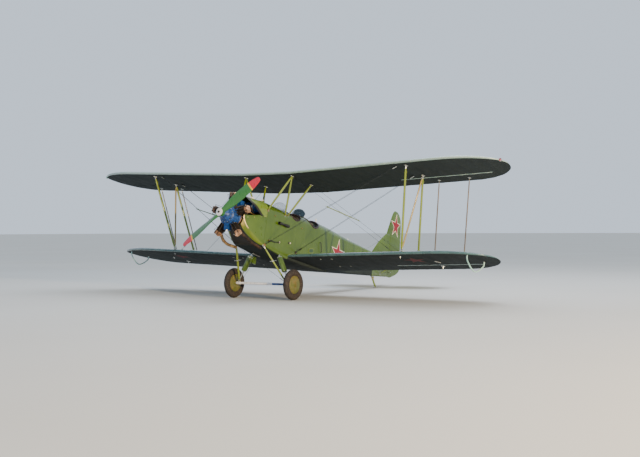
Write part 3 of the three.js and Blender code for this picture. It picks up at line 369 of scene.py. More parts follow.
def painted_blades():
    """Laminated beech under sprayed enamel: green blades, a yellow band and red tips, scuffed
    along the leading edge. The surface's second coordinate is the distance from the hub."""
    material, shader = new_finish("enamelled_beech", IOR=1.5, Coat_Weight=0.5, Coat_Roughness=0.1)
    place = add_node(material, "UVMap", uv_map="bays").outputs[0]
    radius = add_node(material, "SeparateXYZ", {0: place}).outputs[1]
    band_start, band_end = 0.745, 0.775
    banded = add_node(material, "Math", {0: radius, 1: band_start}, operation="GREATER_THAN").outputs[0]
    tipped = add_node(material, "Math", {0: radius, 1: band_end}, operation="GREATER_THAN").outputs[0]
    grain = mottle(material, 0.05, 6.0, (1, 1, 0.2))
    green = add_node(material, "Mix", {0: grain, 6: paint().blade, 7: linear("#2c5a2a")},
                     data_type="RGBA").outputs[2]
    yellow = add_node(material, "Mix", {0: banded, 6: green, 7: paint().blade_band},
                      data_type="RGBA").outputs[2]
    red = add_node(material, "Mix", {0: tipped, 6: yellow, 7: paint().blade_tip},
                   data_type="RGBA").outputs[2]
    link(material, red, shader.inputs["Base Color"])
    roughen(material, shader, grain, 0.22, 0.4)
    bump(material, shader, mottle(material, 0.01, 3.0, (1, 1, 0.1)), 0.0003, 0.4)


def clear_sheet(name, tint, roughness, cover=0.75):
    """Bent clear sheet: tinted a little, with fine scratches that catch the light."""
    material, shader = new_finish(name, IOR=1.49, Transmission_Weight=1.0, Alpha=cover)
    shader.inputs["Base Color"].default_value = tint
    roughen(material, shader, mottle(material, 0.04, 3.0, (1, 6, 1)), roughness, roughness + 0.03)


def make_finishes():
    """All finishes of the aircraft."""
    colours = paint()
    doped_fabric("doped_linen_olive", colours.skin, colours.skin_faded, 0.16, 0.3, 0.35)
    doped_fabric("doped_linen_sunned", linear("#4a6127"), linear("#64794a"), 0.2, 0.7)
    # Pale linen of painted sky reflection: upper leading edges, fuselage ridge, port aileron noses
    doped_fabric("doped_linen_painted_reflection", colours.lead, linear("#a3b7b2"), 0.22, 0.8)
    # Teal linen of painted sky reflection along the lower leading edges
    doped_fabric("doped_linen_sage_painted_reflection", linear("#3c5a60"), linear("#557a7c"), 0.2, 0.7)
    # Slate under the wings, darkened as painted shade
    doped_fabric("doped_linen_slate_painted_shade", colours.underside, linear("#2b3333"), 0.75, 0.0, 0.2)
    enamelled_metal("enamelled_sheet_olive", colours.skin, colours.skin_faded, 0.24)
    # Lighter olive of the hood: painted light on faces that the lamps leave in shade
    enamelled_metal("sheet_olive_painted_light", linear("#5f7428"), linear("#748a42"), 0.24)
    enamelled_metal("enamelled_tube_olive", colours.strut, linear("#7c8c2a"), 0.28)
    enamelled_metal("dusty_wheel_enamel", linear("#4f5518"), linear("#73602f"), 0.5, 0.16)
    enamelled_metal("enamelled_tube_teal", linear("#a4cbc8"), linear("#7da8a6"), 0.3)
    # Tan enamel of the slanted interplane struts
    enamelled_metal("tan_enamelled_tube", linear("#8d7c45"), linear("#a58f5c"), 0.4)
    enamelled_metal("weathered_tube_brown", linear("#5f5146"), linear("#7d6c5a"), 0.4)
    # Blue crankcase enamel, also the blue band of painted shadow on the axle
    cast_metal("blue_enamel_and_painted_shadow", colours.case, linear("#050f20"), 0.35, 0.0, 0.035)
    cast_metal("black_cast_iron", linear("#26221f"), linear("#4a3c30"), 0.45, 0.35)
    cast_metal("cast_aluminium_tinted", colours.head, linear("#86644d"), 0.42, 0.35)
    cast_metal("sooted_steel", linear("#1f1815"), linear("#4e382c"), 0.6, 0.4)
    # Golden steel of the starboard exhaust: painted sunlight
    cast_metal("exhaust_steel_painted_sunlight", linear("#7a6248"), linear("#c8a878"), 0.36, 0.7)
    # Oily black, darkened further as painted shade: the nose's belly, and the band with the shade under the hood's
    # front edge
    cast_metal("oily_black_sheet_painted_shade", linear("#0e0e10"), linear("#1f1b1a"), 0.5, 0.0)
    drawn_metal("bright_aluminium", linear("#d6d6d0"), linear("#a9aaa6"), 0.24)
    drawn_metal("bare_brass", linear("#c79a5e"), linear("#7d5a35"), 0.32)
    # Cream of the rolled cowl lip: worn bright metal, with a painted highlight of the low sun
    drawn_metal("worn_lip_painted_highlight", linear("#f2ddae"), linear("#c9a468"), 0.3)
    bevel_wear_and_light()
    drawn_metal("drawn_steel_wire", linear("#4a4d4c"), linear("#2e302f"), 0.35)
    plain_paint("red_enamel", colours.star, linear("#8f1a26"))
    # Darker red and ivory of the stars under the wings: painted shade
    plain_paint("dulled_red_enamel", linear("#63161f"), linear("#421820"), 0.75)
    plain_paint("dulled_ivory_enamel", linear("#33322f"), linear("#2b2b29"), 0.75)
    plain_paint("ivory_enamel", colours.star_edge, linear("#bdb8a8"))
    plain_paint("white_enamel", linear("#e9e6e8"), linear("#c4c1c0"))
    plain_paint("black_enamel", linear("#17181a"), linear("#2c2d2e"), 0.45)
    # Dark green of the foot hole: painted shade
    plain_paint("foot_hole_painted_shade", linear("#2b4630"), linear("#38573a"), 0.5)
    plain_paint("grey_primer", linear("#7d837a"), linear("#5d635a"), 0.6)
    tanned_leather("black_leather", linear("#1c1a19"), linear("#3b3632"))
    tanned_leather("plum_leather", linear("#231a22"), linear("#40303a"))
    plain_paint("varnished_plywood", linear("#b58a55"), linear("#8d6537"), 0.3)
    tanned_leather("cotton_webbing", linear("#9a8f6a"), linear("#7a7050"))
    vulcanised_rubber("tyre_rubber", linear("#221d1c"), linear("#43362f"))
    vulcanised_rubber("black_rubber", linear("#191818"), linear("#2f2d2b"))
    painted_blades()
    clear_sheet("bent_acrylic", linear("#b9c8c8"), 0.03, 0.3)
    # Dark tint of the rear pane: painted shade of the cockpit behind it
    clear_sheet("shade_tinted_acrylic", linear("#2b3a42"), 0.04, 0.9)
    clear_sheet("red_lens", linear("#b0161c"), 0.08)
    clear_sheet("green_lens", linear("#157a45"), 0.08)


# Shaping
class Skin:
    """Points, faces and surface coordinates of a piece while it is being shaped."""

    def __init__(self):
        self.points = []
        self.bays = []
        self.faces = []
        self.finishes = []

    def add_points(self, points, bays=None):
        """Add points and say where they start."""
        start = len(self.points)
        self.points += [Vector(p) for p in points]
        self.bays += bays or [(0.5, 0.0)] * len(points)
        return start

    def add_face(self, corners, finish=0):
        """Add one face from point numbers."""
        self.faces.append(tuple(corners))
        self.finishes.append(finish)

    def sheet(self, rows, finish=0, closed=False, bays=None):
        """Faces between rows of points; closed joins each row's end to its start."""
        width = len(rows[0])
        flat = [b for row in bays for b in row] if bays else None
        start = self.add_points([p for row in rows for p in row], flat)
        for r in range(len(rows) - 1):
            for c in range(width if closed else width - 1):
                a, b = start + r * width + c, start + r * width + (c + 1) % width
                which = finish(r, c) if callable(finish) else finish
                self.add_face((a, b, b + width, a + width), which)
        return start

    def loft(self, rings, finish=0, bays=None):
        """A closed body through rings of points, with flat ends."""
        start = self.sheet(rings, finish, True, bays)
        width, last = len(rings[0]), start + (len(rings) - 1) * len(rings[0])
        end_finish = finish if not callable(finish) else finish(0, 0)
        self.add_face(range(start + width - 1, start - 1, -1), end_finish)
        self.add_face(range(last, last + width), end_finish)

    def rod(self, start, end, radius, end_radius=None, sides=12, finish=0):
        """A round bar or cone."""
        axis = Vector(end) - Vector(start)
        radii = (radius, radius if end_radius is None else end_radius)
        self.loft([circle(p, axis, r, sides) for p, r in zip((start, end), radii)], finish)

    def tube(self, path, radius, sides=8, finish=0, closed=False):
        """A round bar along a path of points."""
        rings = swept(path, circle_outline(radius, sides), closed)
        if closed:
            self.sheet([*rings, rings[0]], finish, True)
        else:
            self.loft(rings, finish)

    def turned(self, profile, place, sides=32, finish=0, bays=None):
        """A body turned about the local Z of place, from rows of radius and height."""
        rings = [[place @ Vector((r * math.cos(t), r * math.sin(t), z)) for t in turns(sides)]
                 for r, z in profile]
        if (Vector(profile[0]) - Vector(profile[-1])).length < 1e-7:
            self.sheet(rings, finish, True, bays)
        else:
            self.loft(rings, finish, bays)

    def block(self, low, high, finish=0, place=None):
        """A box between two corners."""
        place = place or Matrix.Identity(4)
        (x0, y0, z0), (x1, y1, z1) = low, high
        ends = [[(x0, y, z0), (x1, y, z0), (x1, y, z1), (x0, y, z1)] for y in (y0, y1)]
        self.loft([[place @ Vector(p) for p in ring] for ring in ends], finish)

    def bolt(self, point, direction, radius=0.008, finish=0):
        """A hexagonal bolt head on a washer, standing along a direction."""
        out = Vector(direction).normalized()
        base = Vector(point)
        self.rod(base, base + out * radius * 0.35, radius * 1.5, sides=12, finish=finish)
        self.rod(base + out * radius * 0.3, base + out * radius * 1.3, radius, sides=6, finish=finish)

    def bolts(self, place, radius, height, count, size, finish=0, way=1):
        """Bolt heads in a ring about the local Z of place."""
        out = place.to_3x3() @ Vector((0, 0, way))
        for t in turns(count):
            self.bolt(place @ Vector((radius * math.cos(t), radius * math.sin(t), height)), out,
                      size, finish)

    def mirrored(self):
        """The same piece on the other side."""
        other = Skin()
        other.points = [Vector((-p.x, p.y, p.z)) for p in self.points]
        other.bays = list(self.bays)
        other.faces = [tuple(reversed(face)) for face in self.faces]
        other.finishes = list(self.finishes)
        return other

    def joined(self, other):
        """This piece and another in one."""
        both = Skin()
        both.points = self.points + other.points
        both.bays = self.bays + other.bays
        shift = len(self.points)
        both.faces = self.faces + [tuple(i + shift for i in face) for face in other.faces]
        both.finishes = self.finishes + other.finishes
        return both


def turns(sides):
    """Even angles round a circle."""
    return [math.tau * i / sides for i in range(sides)]


def circle_outline(radius, sides):
    """A circle as flat points."""
    return [(radius * math.cos(t), radius * math.sin(t)) for t in turns(sides)]


def basis(direction):
    """Two unit vectors across a direction: one level, one as upright as can be."""
    along = Vector(direction).normalized()
    up = UP if abs(along.z) < 0.9 else AFT
    right = along.cross(up).normalized()
    return right, right.cross(along)


def circle(centre, direction, radius, sides):
    """A ring of points across a direction."""
    right, up = basis(direction)
    return [Vector(centre) + right * x + up * y for x, y in circle_outline(radius, sides)]


def swept(path, outline, closed=False):
    """An outline carried along a path without twisting."""
    path = [Vector(p) for p in path]
    count = len(path)
    heads = []
    for i in range(count):
        before = path[i - 1] if i or closed else path[i]
        after = path[(i + 1) % count] if i < count - 1 or closed else path[i]
        heads.append((after - before).normalized())
    right, _ = basis(heads[0])
    rings = []
    for point, head in zip(path, heads):
        right = (right - head * right.dot(head)).normalized()
        up = right.cross(head)
        rings.append([point + right * x + up * y for x, y in outline])
    return rings


def smooth_rows(rows, steps):
    """Rows of numbers with others put between them along smooth curves (Catmull-Rom)."""
    rows = [list(row) for row in rows]
    ends = [[2 * a - b for a, b in zip(rows[0], rows[1])], *rows,
            [2 * a - b for a, b in zip(rows[-1], rows[-2])]]
    filled = []
    for i in range(1, len(ends) - 2):
        for s in range(steps):
            t = s / steps
            filled.append([0.5 * (2 * b + (c - a) * t + (2 * a - 5 * b + 4 * c - d) * t * t
                                  + (3 * b - a - 3 * c + d) * t ** 3)
                           for a, b, c, d in zip(*ends[i - 1:i + 3])])
    return [*filled, rows[-1]]


def smooth_path(points, steps=8):
    """A smooth path through points."""
    return [Vector(row) for row in smooth_rows(points, steps)]


def row_between(rows, place):
    """The numbers of a table at a place between two of its rows, and the last ones past its end."""
    way = 1 if rows[-1][0] > rows[0][0] else -1
    for a, b in zip(rows, rows[1:]):
        if way * place <= way * b[0]:
            share = (place - a[0]) / (b[0] - a[0])
            return [p + (q - p) * share for p, q in zip(a[1:], b[1:])]
    return list(rows[-1][1:])


def arch(half, foot, top, steps):
    """The port half of an arch, from its foot to the ridge."""
    turns_up = [math.pi / 2 * i / steps for i in range(steps + 1)]
    return [(half * math.cos(t), foot + (top - foot) * math.sin(t)) for t in turns_up]


def from_edge(lead, rear, steps):
    """Places from a front edge aft, close together at the edge."""
    return [lead + (rear - lead) * (1 - math.cos(math.pi / 2 * i / steps)) for i in range(steps + 1)]


def make_piece(name, skin, finishes, slot, body="airframe", replaces=(), sharp=34, merge=False):
    """Make the object in the row's frame, with its finishes, and let it ride on its body."""
    mesh = bpy.data.meshes.new(name)
    mesh.from_pydata([LEVEL @ p for p in skin.points], [], skin.faces)
    for finish in finishes:
        mesh.materials.append(FINISHES[finish])
    mesh.polygons.foreach_set("material_index", skin.finishes)
    bays = mesh.uv_layers.new(name="bays")
    corners = [skin.bays[loop.vertex_index] for loop in mesh.loops]
    bays.data.foreach_set("uv", [value for corner in corners for value in corner])
    work = bmesh.new()
    work.from_mesh(mesh)
    if merge:
        bmesh.ops.remove_doubles(work, verts=work.verts, dist=1e-5)
    bmesh.ops.recalc_face_normals(work, faces=work.faces)
    work.to_mesh(mesh)
    work.free()
    mesh.shade_smooth()
    mesh.set_sharp_from_angle(angle=math.radians(sharp))
    uses = Counter(key for face in mesh.polygons for key in face.edge_keys)
    for edge in mesh.edges:
        if uses[edge.key] == 1:
            edge.use_edge_sharp = True
    piece = bpy.data.objects.new(name, mesh)
    bpy.context.scene.collection.objects.link(piece)
    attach(piece, body)
    if replaces:
        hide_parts(*replaces)
    return piece


def thicken(piece, name, thickness, offset=0):
    """Give an open sheet its wall: centred on the sheet, or inside (-1) or outside (1) it."""
    wall = piece.modifiers.new(name, "SOLIDIFY")
    wall.thickness = thickness
    wall.offset = offset


def both_sides(name, skin, finishes, body="airframe", replaces=(), **settings):
    """Make a port piece and its mirror image; {} in a name takes the side. Gives both pieces."""
    return [make_piece(name.format(label), skin if side > 0 else skin.mirrored(), finishes,
                       body=body.format(label), replaces=[node.format(label) for node in replaces],
                       **settings) for label, side in SIDES]


# Wing section and panels, each in its own frame: X outboard from the root, Y aft from the lead
CENTRE = {"root": -CENTRE_HALF_SPAN, "tip": 50.0, "lead": UPPER["lead"], "height": UPPER["height"],
          "dihedral": 0.0, "aileron": None}
FRONT_STEPS = 16
NOSE_STEPS = 8
# Steps under (LEAD_WRAP) and over (LEAD_TOP) the leading edge that take the band of painted sky reflection
LEAD_WRAP = 3
LEAD_TOP = 3
REAR_STEPS = 7
TIP_TURNS = (47, 53, 59, 65, 70, 75, 79, 83, 86, 88, 89.2)


def section_height(fraction, side):
    """Height over the chord line as a share of the chord, on the top (1) or underside (-1)."""
    f = min(max(fraction, 0.0), 1.0)
    reach = CAMBER_PLACE if f < CAMBER_PLACE else 1 - CAMBER_PLACE
    camber = SECTION_CAMBER * (1 - ((f - CAMBER_PLACE) / reach) ** 2)
    return camber + side * (SECTION_THICKNESS / 2 * section_spread(f) + f * TRAILING_EDGE / CHORD)


def section_spread(f):
    """Half thickness of a streamlined section, where its thickest place is about 1."""
    return 10 * (0.2969 * math.sqrt(f) - 0.126 * f - 0.3516 * f ** 2 + 0.2843 * f ** 3
                 - 0.1036 * f ** 4)


HINGE_Y = CHORD * HINGE_PLACE
HINGE_RADIUS = CHORD * (section_height(HINGE_PLACE, 1) - section_height(HINGE_PLACE, -1)) / 2
COVE = HINGE_Y - HINGE_RADIUS - RUNNING_GAP


def tip_share(distance, arc):
    """How far the rounded tip has drawn an edge in, as a share of its full sweep."""
    into = min(max(1 - distance / arc, 0.0), 1.0)
    return 1 - math.sqrt(1 - into ** 2)


def panel_edges(inset):
    """Leading and trailing edge at a distance from the tip."""
    lead = CHORD * TIP_PLACE * tip_share(inset, LEADING_TIP_ARC)
    return lead, CHORD - CHORD * (1 - TIP_PLACE) * tip_share(inset, TRAILING_TIP_ARC)


def panel_frame(wing):
    """The port panel's place in the level frame."""
    return (Matrix.Translation((wing["root"], wing["lead"], wing["height"]))
            @ Matrix.Rotation(-INCIDENCE, 4, "X") @ Matrix.Rotation(-wing["dihedral"], 4, "Y"))


def on_panel(wing, x, fraction, side):
    """A point on the plain surface of a port panel, in the level frame."""
    lead, trail = panel_edges(wing["tip"] - x)
    y, chord = CHORD * fraction, trail - lead
    height = chord * section_height((y - lead) / chord, side)
    return panel_frame(wing) @ Vector((x - wing["root"], y, height))


def on_centre(x, fraction, side):
    """A point on the centre section."""
    return on_panel(CENTRE, x, fraction, side)


def halfway(bays):
    """0 where the number of bays is whole, on a rib or frame, and 1 halfway to the next."""
    return 4 * (bays % 1) * (1 - bays % 1)


def ramp(value, low, high):
    """Smooth step from 0 to 1."""
    t = min(max((value - low) / (high - low), 0.0), 1.0)
    return t * t * (3 - 2 * t)


def fabric_height(wing, x, y, side):
    """Height of the fabric, which hangs in a little between the ribs."""
    lead, trail = panel_edges(wing["tip"] - wing["root"] - x)
    chord = trail - lead
    fraction = (y - lead) / chord
    bag = ramp(fraction, 0.07, 0.2) * (1 - ramp(fraction, 0.86, 1.0))
    slack = side * sizes().sag * halfway(x / sizes().rib_pitch) * bag
    return chord * section_height(fraction, side) - slack


def trailing_edge(wing, x):
    """The trailing edge, drawn in a little between the ribs."""
    trail = panel_edges(wing["tip"] - wing["root"] - x)[1]
    return trail - sizes().scallop * halfway(x / sizes().rib_pitch)


def panel_ring(wing, x, truncated):
    """Points round the panel at one place, with the same count with or without its rear part."""
    lead = panel_edges(wing["tip"] - wing["root"] - x)[0]
    trail = trailing_edge(wing, x)
    cove = min(COVE, lead + (trail - lead) * 0.8)
    front = from_edge(lead, cove, FRONT_STEPS)
    ring, bays = [], []
    edge_top, edge_low = (fabric_height(wing, x, cove, side) for side in (1, -1))
    middle = (edge_top + edge_low) / 2

    def add(y, z):
        ring.append((x, y, z))
        bays.append((x / sizes().rib_pitch, y))

    for side, edge in ((-1, edge_low), (1, edge_top)):
        rear = []
        for i in range(1, REAR_STEPS + 1):
            share = i / REAR_STEPS
            if truncated:
                rear.append((cove, edge + (middle - edge) * share))
            else:
                y = cove + (trail - cove) * share
                rear.append((y, fabric_height(wing, x, y, side)))
        fore = [(y, fabric_height(wing, x, y, side)) for y in front]
        if side < 0:
            for y, z in [*reversed(rear), *reversed(fore)]:
                add(y, z)
        else:
            for y, z in [*fore[1:], *rear]:
                add(y, z)
    return ring, bays


def span_places(start, end, wing):
    """Places along the span: four to each rib bay, then closer round the tip."""
    pitch = sizes().rib_pitch / 4
    tip = wing["tip"] - wing["root"]
    last = min(end, tip - LEADING_TIP_ARC * (1 - math.sin(math.radians(TIP_TURNS[0]))))
    places = {start, last, *[pitch * i for i in range(int(start / pitch), int(last / pitch) + 1)]}
    if end > last:
        places |= {tip - LEADING_TIP_ARC * (1 - math.sin(math.radians(t))) for t in TIP_TURNS[1:]}
    return sorted(p for p in places if start <= p <= end)


def panel_finish(_, c):
    """Slate with painted shade below, a band of painted sky reflection round the leading edge, and the top's
    colour above.
    """
    lead = FRONT_STEPS + REAR_STEPS
    return 1 if c < lead - LEAD_WRAP else 2 if c < lead + LEAD_TOP else 0


def wing_skin(wing, start, end, root_side=None):
    """A panel with the room for its aileron cut out of it."""
    places = [(x, False) for x in span_places(start, end, wing)]
    if wing["aileron"]:
        low, high = (a - wing["root"] for a in wing["aileron"])
        low, high = low - RUNNING_GAP, high + RUNNING_GAP
        places = [(x, low < x < high) for x, _ in places if x not in (low, high)]
        places += [(low, False), (low, True), (high, True), (high, False)]
        order = {(low, True): low + 1e-7, (high, True): high - 1e-7}
        places.sort(key=lambda place: order.get(place, place[0]))
    rings, bays = [], []
    for x, truncated in places:
        ring, bay = panel_ring(wing, x, truncated)
        rings.append([panel_frame(wing) @ Vector(p) for p in ring])
        bays.append(bay)
    if root_side:
        rings[0] = [Vector((root_side(p.y), p.y, p.z)) for p in rings[0]]
    skin = Skin()
    skin.loft(rings, panel_finish, bays)
    return skin


def aileron_skin(wing):
    """An aileron: a round nose on its hinge line, then the wing's own fabric to the edge. Its
    finishes are the top's, the underside's and the nose's."""
    low, high = (a - wing["root"] for a in wing["aileron"])
    rings, bays = [], []
    for x in span_places(low, high, wing):
        trail = trailing_edge(wing, x)
        places = [HINGE_Y + (trail - HINGE_Y) * i / REAR_STEPS for i in range(REAR_STEPS + 1)]
        top = [(y, fabric_height(wing, x, y, 1)) for y in places]
        low_side = [(y, fabric_height(wing, x, y, -1)) for y in places]
        centre = (top[0][1] + low_side[0][1]) / 2
        radius = (top[0][1] - low_side[0][1]) / 2
        nose = [(HINGE_Y - radius * math.sin(math.pi * i / NOSE_STEPS),
                 centre - radius * math.cos(math.pi * i / NOSE_STEPS)) for i in range(1, NOSE_STEPS)]
        ring = [*reversed(low_side), *nose, *top]
        rings.append([panel_frame(wing) @ Vector((x, y, z)) for y, z in ring])
        bays.append([(x / sizes().rib_pitch, y) for y, _ in ring])
    skin = Skin()
    skin.loft(rings, lambda _, c: 1 if c < REAR_STEPS else 2 if c < REAR_STEPS + NOSE_STEPS else 0, bays)
    return skin


# Top, underside with painted shade, and leading edge with painted sky reflection
WING_FINISHES = {"upper": ("doped_linen_sunned", "doped_linen_slate_painted_shade", "doped_linen_painted_reflection"),
                 "lower": ("doped_linen_sunned", "doped_linen_slate_painted_shade", "doped_linen_sage_painted_reflection")}


def make_wings():
    """Centre section, four panels and four ailerons."""
    centre = wing_skin(CENTRE, 0.0, 2 * CENTRE_HALF_SPAN)
    make_piece("centre_section", centre, WING_FINISHES["upper"], slot="wing_skin",
               replaces=("upper_wing_centre",), sharp=50, merge=True)
    for name, wing, start, root_side in (("upper", UPPER, 0.003, None),
                                         ("lower", LOWER, 0.0, fuselage_side)):
        panel = wing_skin(wing, start, wing["tip"] - wing["root"], root_side)
        both_sides(name + "_panel_{}", panel, WING_FINISHES[name], slot="wing_skin",
                   replaces=(name + "_wing_{}",), sharp=50, merge=True)
        flap = aileron_skin(wing)
        # The gap ahead of an aileron has painted sky reflection (pale) on the port side, and painted shade (dark
        # slate) on the other
        for label, side in SIDES:
            nose = "doped_linen_painted_reflection" if side > 0 else "doped_linen_slate_painted_shade"
            make_piece(f"{name}_aileron_skin_{label}", flap if side > 0 else flap.mirrored(),
                       (*WING_FINISHES[name][:2], nose), body=f"{name}_aileron_{label}",
                       slot="wing_skin", replaces=(f"{name}_aileron_{label}",), sharp=50, merge=True)


# Fuselage shell
def station(y):
    """Half width, underside, shoulder and ridge at a place along the fuselage."""
    return row_between(STATIONS, max(y, FIREWALL))


def fuselage_side(y):
    """Where the lower wing's root meets the fuselage side."""
    return station(y)[0] + 0.001


def deck_height(x, y):
    """Height of the arched deck."""
    half, _, shoulder, ridge = station(y)
    return shoulder + (ridge - shoulder) * math.sqrt(max(1 - (x / half) ** 2, 0))


def mouth_height(y):
    """Height of the cockpit opening's edge, or None where the deck is closed."""
    for cockpit in COCKPITS:
        across = (y - cockpit["middle"]) / cockpit["half"]
        if abs(across) < 1:
            return MOUTH_TOP - (MOUTH_TOP - RIM_LOW) * math.sqrt(1 - across ** 2)
    return None


def mouth_reach(cockpit):
    """How far the opening reaches along the deck from its middle."""
    low, high = 0.0, cockpit["half"]
    for _ in range(40):
        half = (low + high) / 2
        y = cockpit["middle"] + half
        rise = mouth_height(y) if half < cockpit["half"] else MOUTH_TOP
        low, high = (half, high) if rise < station(y)[3] else (low, half)
    return low


DECK_STEPS = 14
KEEL_STEPS = 4
# Start, end and columns: the slate underside, darkened as painted shade, low on the sides; painted sky reflection
# along the ridge
SLATE_SIDES = ((0.18, 1.86, 3), (1.86, 4.45, 4))
RIDGE_REFLECTION = ((-0.8, 0.05, 4), (0.65, 0.86, 3), (1.44, 4.5, 2))
FRAME_PITCH = 0.42
FABRIC_START = 1.6
SKIN_WALL = 0.008
FABRIC_HOLLOW = 0.0035


def frame_slack(y):
    """How deep the fabric hangs in between two fuselage frames."""
    hollow = FABRIC_HOLLOW * halfway((y - FABRIC_START) / FRAME_PITCH)
    return hollow * ramp(y, FABRIC_START, FABRIC_START + 0.1)


def on_side(y, z, lift):
    """A point on the port side of the fuselage, raised off its fabric."""
    half, low, shoulder, _ = station(y)
    share = (z - low - CHINE) / (shoulder - low - CHINE)
    hollow = frame_slack(y) * math.sin(math.pi * share)
    return Vector((half - hollow + SKIN_WALL / 2 + lift, y, z))


def half_ring(y):
    """Points of the port half from the keel up over the side and the deck to the ridge."""
    half, low, shoulder, ridge = station(y)
    keel = half - CHINE if half > 2 * CHINE else half * 0.5
    ring = [(keel * i / KEEL_STEPS, low) for i in range(KEEL_STEPS)]
    ring += [(keel, low), (keel + (half - keel) * 0.7, low + CHINE * 0.3), (half, low + CHINE)]
    slack = frame_slack(y)
    steps = 9
    for i in range(1, steps):
        share = i / steps
        hollow = slack * math.sin(math.pi * share)
        ring.append((half - hollow, low + CHINE + (shoulder - low - CHINE) * share))
    edge = mouth_height(y)
    turn_end = math.pi / 2
    if edge is not None and edge < ridge:
        turn_end = math.asin(max(edge - shoulder, 0.0) / (ridge - shoulder))
    for i in range(DECK_STEPS + 1):
        turn = turn_end * i / DECK_STEPS
        bulge = slack * 1.4 * (math.sin(turn * 10) ** 2 - 1)
        bulge = bulge if i < DECK_STEPS else 0
        x = (half + bulge) * math.cos(turn)
        z = shoulder + (ridge - shoulder + bulge) * math.sin(turn)
        ring.append((x, min(z, TAIL_SEAT_HEIGHT) if y > TAIL_SEAT_FRONT else z))
    return ring


def fuselage_places():
    """Stations along the fuselage, close together at the ends of the cockpit openings."""
    places = {s[0] for s in STATIONS[:-1]} | {SKIN_END, TAIL_SEAT_FRONT, TAIL_SEAT_FRONT + 0.002}
    for cockpit in COCKPITS:
        reach = mouth_reach(cockpit)
        places |= {cockpit["middle"] + reach * math.sin(math.radians(t)) for t in range(-90, 91, 9)}
    step = FRAME_PITCH / 6
    places |= {FABRIC_START + step * i for i in range(int((SKIN_END - FABRIC_START) / step) + 1)}
    places |= {FIREWALL + 0.09 * i for i in range(1, 9)}
    chosen = []
    for y in sorted(places):
        if not chosen or y - chosen[-1] > 0.0015:
            chosen.append(y)
    return chosen


def fuselage_shell():
    """Both halves of the skin, open at the cockpits."""
    rows, bays = [], []
    for y in fuselage_places():
        ring = half_ring(y)
        rows.append([(x, y, z) for x, z in ring])
        bays.append([((y - FABRIC_START) / FRAME_PITCH, z) for _, z in ring])

    def finish(r, c):
        y = rows[r][0][1]
        slate = KEEL_STEPS + sum(steps for start, end, steps in SLATE_SIDES if start < y <= end)
        # The top columns along the ridge take painted sky reflection
        reflection_steps = sum(steps for start, end, steps in RIDGE_REFLECTION if start < y < end)
        return 1 if c < slate else 2 if c > len(rows[r]) - 2 - reflection_steps else 0

    port = Skin()
    port.sheet(rows, finish, bays=bays)
    return port.joined(port.mirrored())


def end_plate(y, inset=0.0, top=None, ahead=0.0):
    """A flat plate that fills the fuselage section at one place."""
    half, low, shoulder, ridge = station(y)
    half, low = half - inset, low + inset
    port = [(half - CHINE if half > 2 * CHINE else half / 2, low), (half, low + CHINE)]
    port += arch(half, shoulder - inset, ridge - inset, 12)
    if top is not None:
        port = [(x, min(z, top)) for x, z in port]
    ring = port + [(-x, z) for x, z in reversed(port)]
    plate = Skin()
    plate.loft([[(x, y + d, z) for x, z in ring] for d in (ahead, ahead + 0.008)])
    return plate


def make_fuselage():
    """Skin of the fuselage, and the plates that close its ends."""
    shell = fuselage_shell()
    piece = make_piece("fuselage_skin", shell,
                       ("doped_linen_olive", "doped_linen_slate_painted_shade", "doped_linen_painted_reflection"),
                       slot="green_skin", replaces=("fuselage",), sharp=40, merge=True)
    thicken(piece, "Skin thickness", SKIN_WALL)
    stern = end_plate(STERN, top=TAIL_SEAT_HEIGHT, ahead=SKIN_END - STERN)
    stern = stern.joined(end_plate(FIREWALL, ahead=0.004))
    make_piece("fuselage_ends", stern, ("enamelled_sheet_olive",), slot="green_metal")


# Markings
STAR_INNER = 0.382
STAR_BORDER = 0.016
STAR_COAT = 0.0012


def star_patch(place, centre, radius, width, lift):
    """A five-pointed patch on a surface; place maps two flat distances and a lift to a point."""
    corners = []
    for i in range(10):
        reach, turn = radius * (STAR_INNER if i % 2 else 1), math.pi / 5 * i
        corners.append(Vector((reach * width * math.sin(turn), reach * math.cos(turn))))
    outline = [a.lerp(b, s / 6) for a, b in zip(corners, [*corners[1:], corners[0]]) for s in range(6)]
    patch = Skin()
    patch.sheet([[place(centre[0] + p.x * k / 8, centre[1] + p.y * k / 8, lift) for p in outline]
                 for k in range(9)], closed=True)
    return patch


def make_stars():
    """Red stars with an ivory border on the fuselage, rudder and undersides of the lower wings, darkened there as
    painted shade.
    """
    def on_rudder(y, z, lift):
        return Vector((tail_half(row_at(BALANCE_ROWS, z), y, z) + lift, y, z))

    def under_wing(x, ahead, lift):
        across, y = x - LOWER["root"], CHORD / 2 - ahead
        return panel_frame(LOWER) @ Vector((across, y, fabric_height(LOWER, across, y, -1) - lift))

    for name, place, centre, radius, width, body, shade_darkened in (
            ("fuselage", on_side, (2.40, 1.54), 0.38, 1.0, "airframe", ""),
            ("rudder", on_rudder, (5.695, 2.983), 0.36, 0.83, "rudder", ""),
            ("wing", under_wing, (3.40, 0.17), 0.31, 1.0, "airframe", "dulled_")):
        inner = radius - STAR_BORDER / math.cos(math.radians(72))
        for part, reach, lift, finish in (("star_border", radius, 0.001, shade_darkened + "ivory_enamel"),
                                          ("star", inner, 0.002, shade_darkened + "red_enamel")):
            patch = star_patch(place, centre, reach, width, lift)
            for piece in both_sides(f"{name}_{part}_{{}}", patch, (finish,), body=body,
                                    slot="green_skin", merge=True):
                thicken(piece, "Paint thickness", STAR_COAT, -1)


# Fittings on the skin
VENTURI = ((0.030, -0.354), (0.036, -0.335), (0.034, -0.262), (0.019, -0.215), (0.022, -0.170),
           (0.032, -0.120), (0.035, 0.0), (0.034, 0.030), (0.029, 0.030), (0.026, -0.100),
           (0.012, -0.200), (0.025, -0.300), (0.026, -0.354), (0.030, -0.354))
STEP = {"middle": (1.11, 1.358), "half": (0.09, 0.044), "tilt": 0.2}


def button(skin, y, z, radius, height, finish):
    """A round cap on the port side of the fuselage."""
    foot = on_side(y, z, -0.002)
    skin.rod(foot, foot + OUTWARD * height, radius, radius * 0.85, 18, finish)


